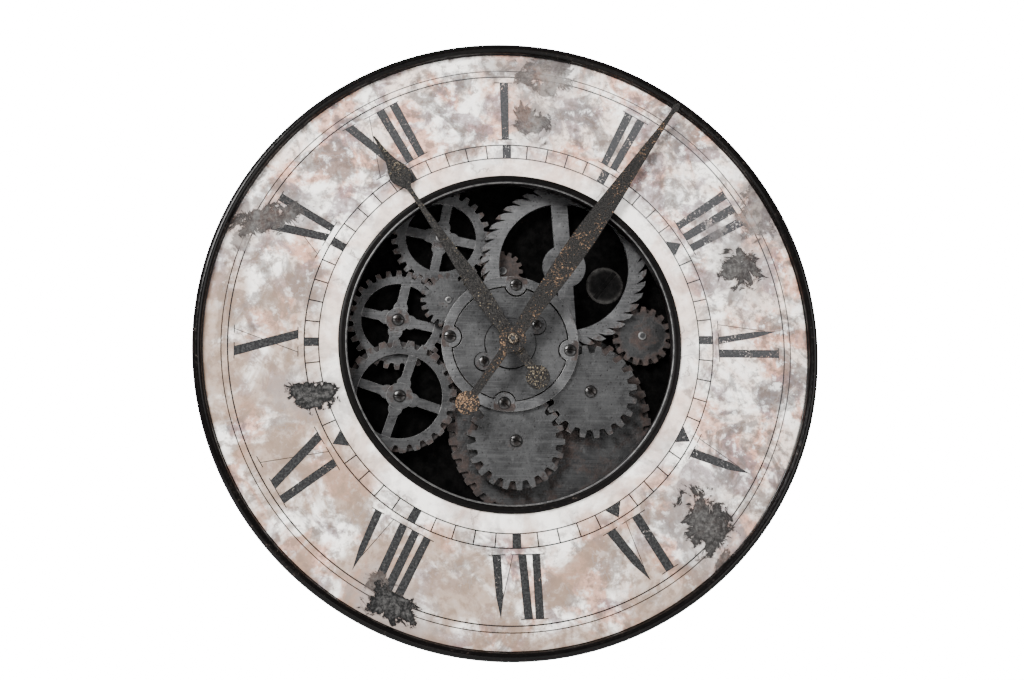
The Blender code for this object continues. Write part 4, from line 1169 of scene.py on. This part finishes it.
def hands():
    minute = ball_rows(-0.0765, 0.0116, 0.0040, (-1.0, 0.9))
    minute += smooth_rows([(-0.0640, 0.0040), (-0.0400, 0.0041), (-0.0200, 0.0044), (-0.0127, 0.0050)], 4)
    minute += hub_rows(0.0131)
    minute += smooth_rows([(0.0126, 0.0064), (0.0400, 0.0084), (0.0800, 0.0104), (0.1200, 0.0113),
                           (0.1600, 0.0098), (0.2150, 0.0062), (0.2650, 0.0030), (0.2865, 0.0023), (0.2915, 0.0034),
                           (0.2950, 0.0034), (0.2975, 0.0022), (0.2990, 0.0004)], 4)
    piece = hand_blade(minute, 0.0090, 0.0016, 0.0023, MINUTE_TURN)
    ball = polar(-0.0765, MINUTE_TURN)
    paint = hand_paint("minute_paint", ball, 0.0116, WARM_GILT)
    done(piece, "minute_blade", "minute_work", paint, ["minute_hand"])

    hour = ball_rows(-0.0440, 0.0117, 0.0042, (-1.0, 0.9))
    hour += smooth_rows([(-0.0320, 0.0042), (-0.0220, 0.0044), (-0.0124, 0.0052)], 4)
    hour += hub_rows(0.0131)
    hour += smooth_rows([(0.0128, 0.0062), (0.0360, 0.0078), (0.0640, 0.0083), (0.1150, 0.0050),
                         (0.1560, 0.0026), (0.1790, 0.0024), (0.1850, 0.0052), (0.1945, 0.0106), (0.2040, 0.0092),
                         (0.2120, 0.0058), (0.2250, 0.0026), (0.2400, 0.0013), (0.2440, 0.0004)], 5)
    piece = hand_blade(hour, 0.0058, 0.0016, 0.0037, HOUR_TURN)
    ball = polar(-0.0440, HOUR_TURN)
    paint = hand_paint("hour_paint", ball, 0.0117, GREY_GILT, 0.0625)
    done(piece, "hour_blade", "hour_work", paint, ["hour_hand"])

    nut_back = 0.0109
    nut = rod(0.0049, nut_back + 0.0026, nut_back, (0.0, 0.0), 96)
    pick(nut, lambda co: round(math.degrees(math.atan2(co.x, co.y)) / 3.75) % 4 < 2)
    bpy.ops.transform.resize(value=(0.955, 0.955, 1.0), center_override=(0.0, 0.0, nut_back))
    edit_done()
    combine(nut, rod(0.0023, 0.03, 0.0, (0.0, 0.0), 40), "DIFFERENCE")
    soften(nut, 0.00025, 2, 32.0)
    done(nut, "knurled_nut", "minute_work", NUT_GILT, ["hand_nut"])

    arbor = spun([(0.0012, 0.0141), (0.0018, 0.0140), (0.0020, 0.0136), (0.0020, -0.0460)], (0.0, 0.0), 40)
    done(arbor, "minute_shaft", "minute_work", STUD_STEEL, ["minute_arbor"])
    for name, node, body, inner, outer, top, low in (
            ("hour_tube", "hour_pipe", "hour_work", 0.0024, 0.0034, 0.0086, -0.0440),
            ("fixed_tube", "centre_tube", "case", 0.0038, 0.0050, -0.0080, -0.0373)):
        profile = [(inner, top - 0.0003), (inner + 0.0002, top), (outer - 0.0003, top), (outer, top - 0.0003),
                   (outer, low), (inner, low)]
        profile.append(profile[0])
        done(spun(profile, (0.0, 0.0), 48), name, body, BRASS, [node])


# ---- behind the dial ---------------------------------------------------------------------------
def movement():
    """The movement's two half shells, the cell in its bay and the setting knob."""
    side, wall = 0.056, 0.0016
    for name, node, front, back in (("movement_face", "movement_front", -0.0376, -0.0447),
                                    ("movement_lid", "movement_back", -0.0450, -0.0555)):
        shell = slab(side, side, front, back)
        shift = -wall if node == "movement_front" else wall
        soften(shell, 0.0022, 4, 60.0)
        hollow = slab(side - 2.0 * wall, side - 2.0 * wall, front + shift, back + shift)
        combine(shell, hollow, "DIFFERENCE")
        if node == "movement_front":
            combine(shell, slab(0.0080, 0.0080, front + 0.005, front - 0.005), "DIFFERENCE")
        else:
            combine(shell, slab(0.0510, 0.0150, back + 0.005, back - 0.005, (0.0, 0.0180)), "DIFFERENCE")
            combine(shell, slab(0.0162, 0.0162, back + 0.005, back - 0.005, (0.0, -0.0180)), "DIFFERENCE")
            for x in (-0.020, 0.020):
                combine(shell, rod(0.0030, back + 0.0006, back - 0.001, (x, -0.018), 32), "DIFFERENCE")
        soften(shell, 0.0003, 2, 40.0)
        done(shell, name, "case", SHELL, [node])

    knob_top, knob_end = -0.0470, -0.0572
    knob = rod(0.0075, -0.0525, knob_end, (0.0, -0.0180), 72)
    pick(knob, lambda co: round(math.degrees(math.atan2(co.x, co.y + 0.018)) / 5.0) % 4 < 2)
    bpy.ops.transform.resize(value=(0.93, 0.93, 1.0), center_override=(0.0, -0.0180, -0.055))
    edit_done()
    combine(knob, rod(0.0020, knob_top, -0.0530, (0.0, -0.0180), 32), "UNION")
    soften(knob, 0.0003, 2, 32.0)
    done(knob, "knob_grip", "setting_knob", KNOB, ["setting_knob"])

    length, radius = 0.0490, 0.0070
    end = length / 2.0
    profile = [(0.0022, end), (0.0028, end - 0.0003), (0.0028, end - 0.0012), (radius * 0.86, end - 0.0012),
               (radius * 0.96, end - 0.0016), (radius, end - 0.0026), (radius, -end + 0.0014),
               (radius * 0.96, -end + 0.0004), (radius * 0.85, -end)]
    cell = spun(profile, (0.0, 0.0), 64)
    cell.rotation_euler = (0.0, math.radians(90.0), 0.0)
    cell.location = (0.0, 0.0180, -0.0555 + radius + 0.0006)
    done(place_at(cell), "cell_can", "case", JACKET, ["battery_cell"])


def mounts():
    """The keyhole plate, the two pads and the four clips."""
    front, back = -0.0568, -WALL_TO_DIAL
    plate = slab(0.090, 0.0405, front, back, (0.0, 0.26825))
    key = slab(0.0044, 0.0110, front + 0.01, back - 0.01, (0.0, 0.2645))
    combine(key, rod(0.0022, front + 0.01, back - 0.01, (0.0, 0.270), 32), "UNION")
    combine(key, rod(0.0050, front + 0.01, back - 0.01, (0.0, 0.2585), 40), "UNION")
    combine(plate, key, "DIFFERENCE")
    soften(plate, 0.0004, 3, 32.0)
    done(plate, "keyhole_plate", "case", ZINC, ["hanger_plate"])
    for name, node, turn in (("pad_left", "bumper_left", 212.0), ("pad_right", "bumper_right", 148.0)):
        profile = [(0.0050, back), (0.0058, back + 0.0002), (0.0062, back + 0.0006), (0.0062, front)]
        done(spun(profile, polar(0.2915, turn), 48), name, "case", RUBBER, [node])
    for index, turn in enumerate((45.0, 135.0, 225.0, 315.0), 1):
        radius = 0.3013
        leg = slab(0.0160, 0.0018, -0.0053, -0.0220, (0.0, radius - 0.0009))
        foot = slab(0.0154, 0.0126, -0.0055, -0.0071, (0.0, radius - 0.0067))
        combine(leg, foot, "UNION")
        combine(leg, rod(0.0018, 0.0, -0.01, (0.0, radius - 0.0085), 24), "DIFFERENCE")
        soften(leg, 0.0004, 2, 32.0)
        done(turned_to(leg, turn), "edge_clip_%d" % index, "case", ZINC, ["dial_clip_%d" % index])


# ---- the studio ----------------------------------------------------------------------------------
def studio():
    clear_selection()
    bpy.ops.mesh.primitive_plane_add(size=14.0, location=(0.0, 2.0, -0.95))
    floor = bpy.context.object
    floor.name = "studio_floor"
    material, _, shader, _ = finish_start("pale_floor", rough=0.8)
    shader.inputs["Base Color"].default_value = rgb(0.88)
    floor.data.materials.append(material)

    world = bpy.data.worlds.new("studio_white")
    bpy.context.scene.world = world
    world.use_nodes = True
    tree = world.node_tree
    background = tree.nodes["Background"]
    background.inputs["Color"].default_value = rgb(1.0)
    seen = add(tree, "LightPath").outputs["Is Camera Ray"]
    tree.links.new(sums(tree, "MULTIPLY_ADD", seen, 17.0, 0.40), background.inputs["Strength"])

    dial = Vector((0.0, -WALL_TO_DIAL, -HANG_DROP))
    for name, where, size, power in (("key", (-1.5, -2.1, 1.35), 1.0, 212.0),
                                     ("fill", (1.9, -2.3, 0.1), 1.8, 54.0),
                                     ("low", (-0.4, -2.0, -1.6), 1.5, 24.0),
                                     ("rear", (0.8, 2.2, 1.2), 1.6, 30.0)):
        lamp = bpy.data.lights.new(name, "AREA")
        lamp.size = size
        lamp.energy = power
        stand = bpy.data.objects.new(name, lamp)
        stand.location = dial + Vector(where)
        stand.rotation_euler = (-Vector(where)).to_track_quat("-Z", "Y").to_euler()
        bpy.context.scene.collection.objects.link(stand)

    camera = bpy.data.cameras.new("camera")
    camera.lens = 49.2
    camera.sensor_width = 36.0
    camera.clip_start = 0.01
    view = bpy.data.objects.new("camera", camera)
    place = Vector((-0.1404, -1.3248, -0.2708))
    aim = (-place).to_track_quat("-Z", "Y")
    view.rotation_euler = aim.to_euler()
    view.location = dial + place + aim @ Vector((0.00031, 0.00090, 0.0))
    bpy.context.scene.collection.objects.link(view)
    bpy.context.scene.camera = view


studio()
rim()
dial()
bezel()
drum()
dial_print()
back_plate()
base_wheel()
wheels()
saw_wheel()
studs()
screws()
centre_plate()
hands()
movement()
mounts()
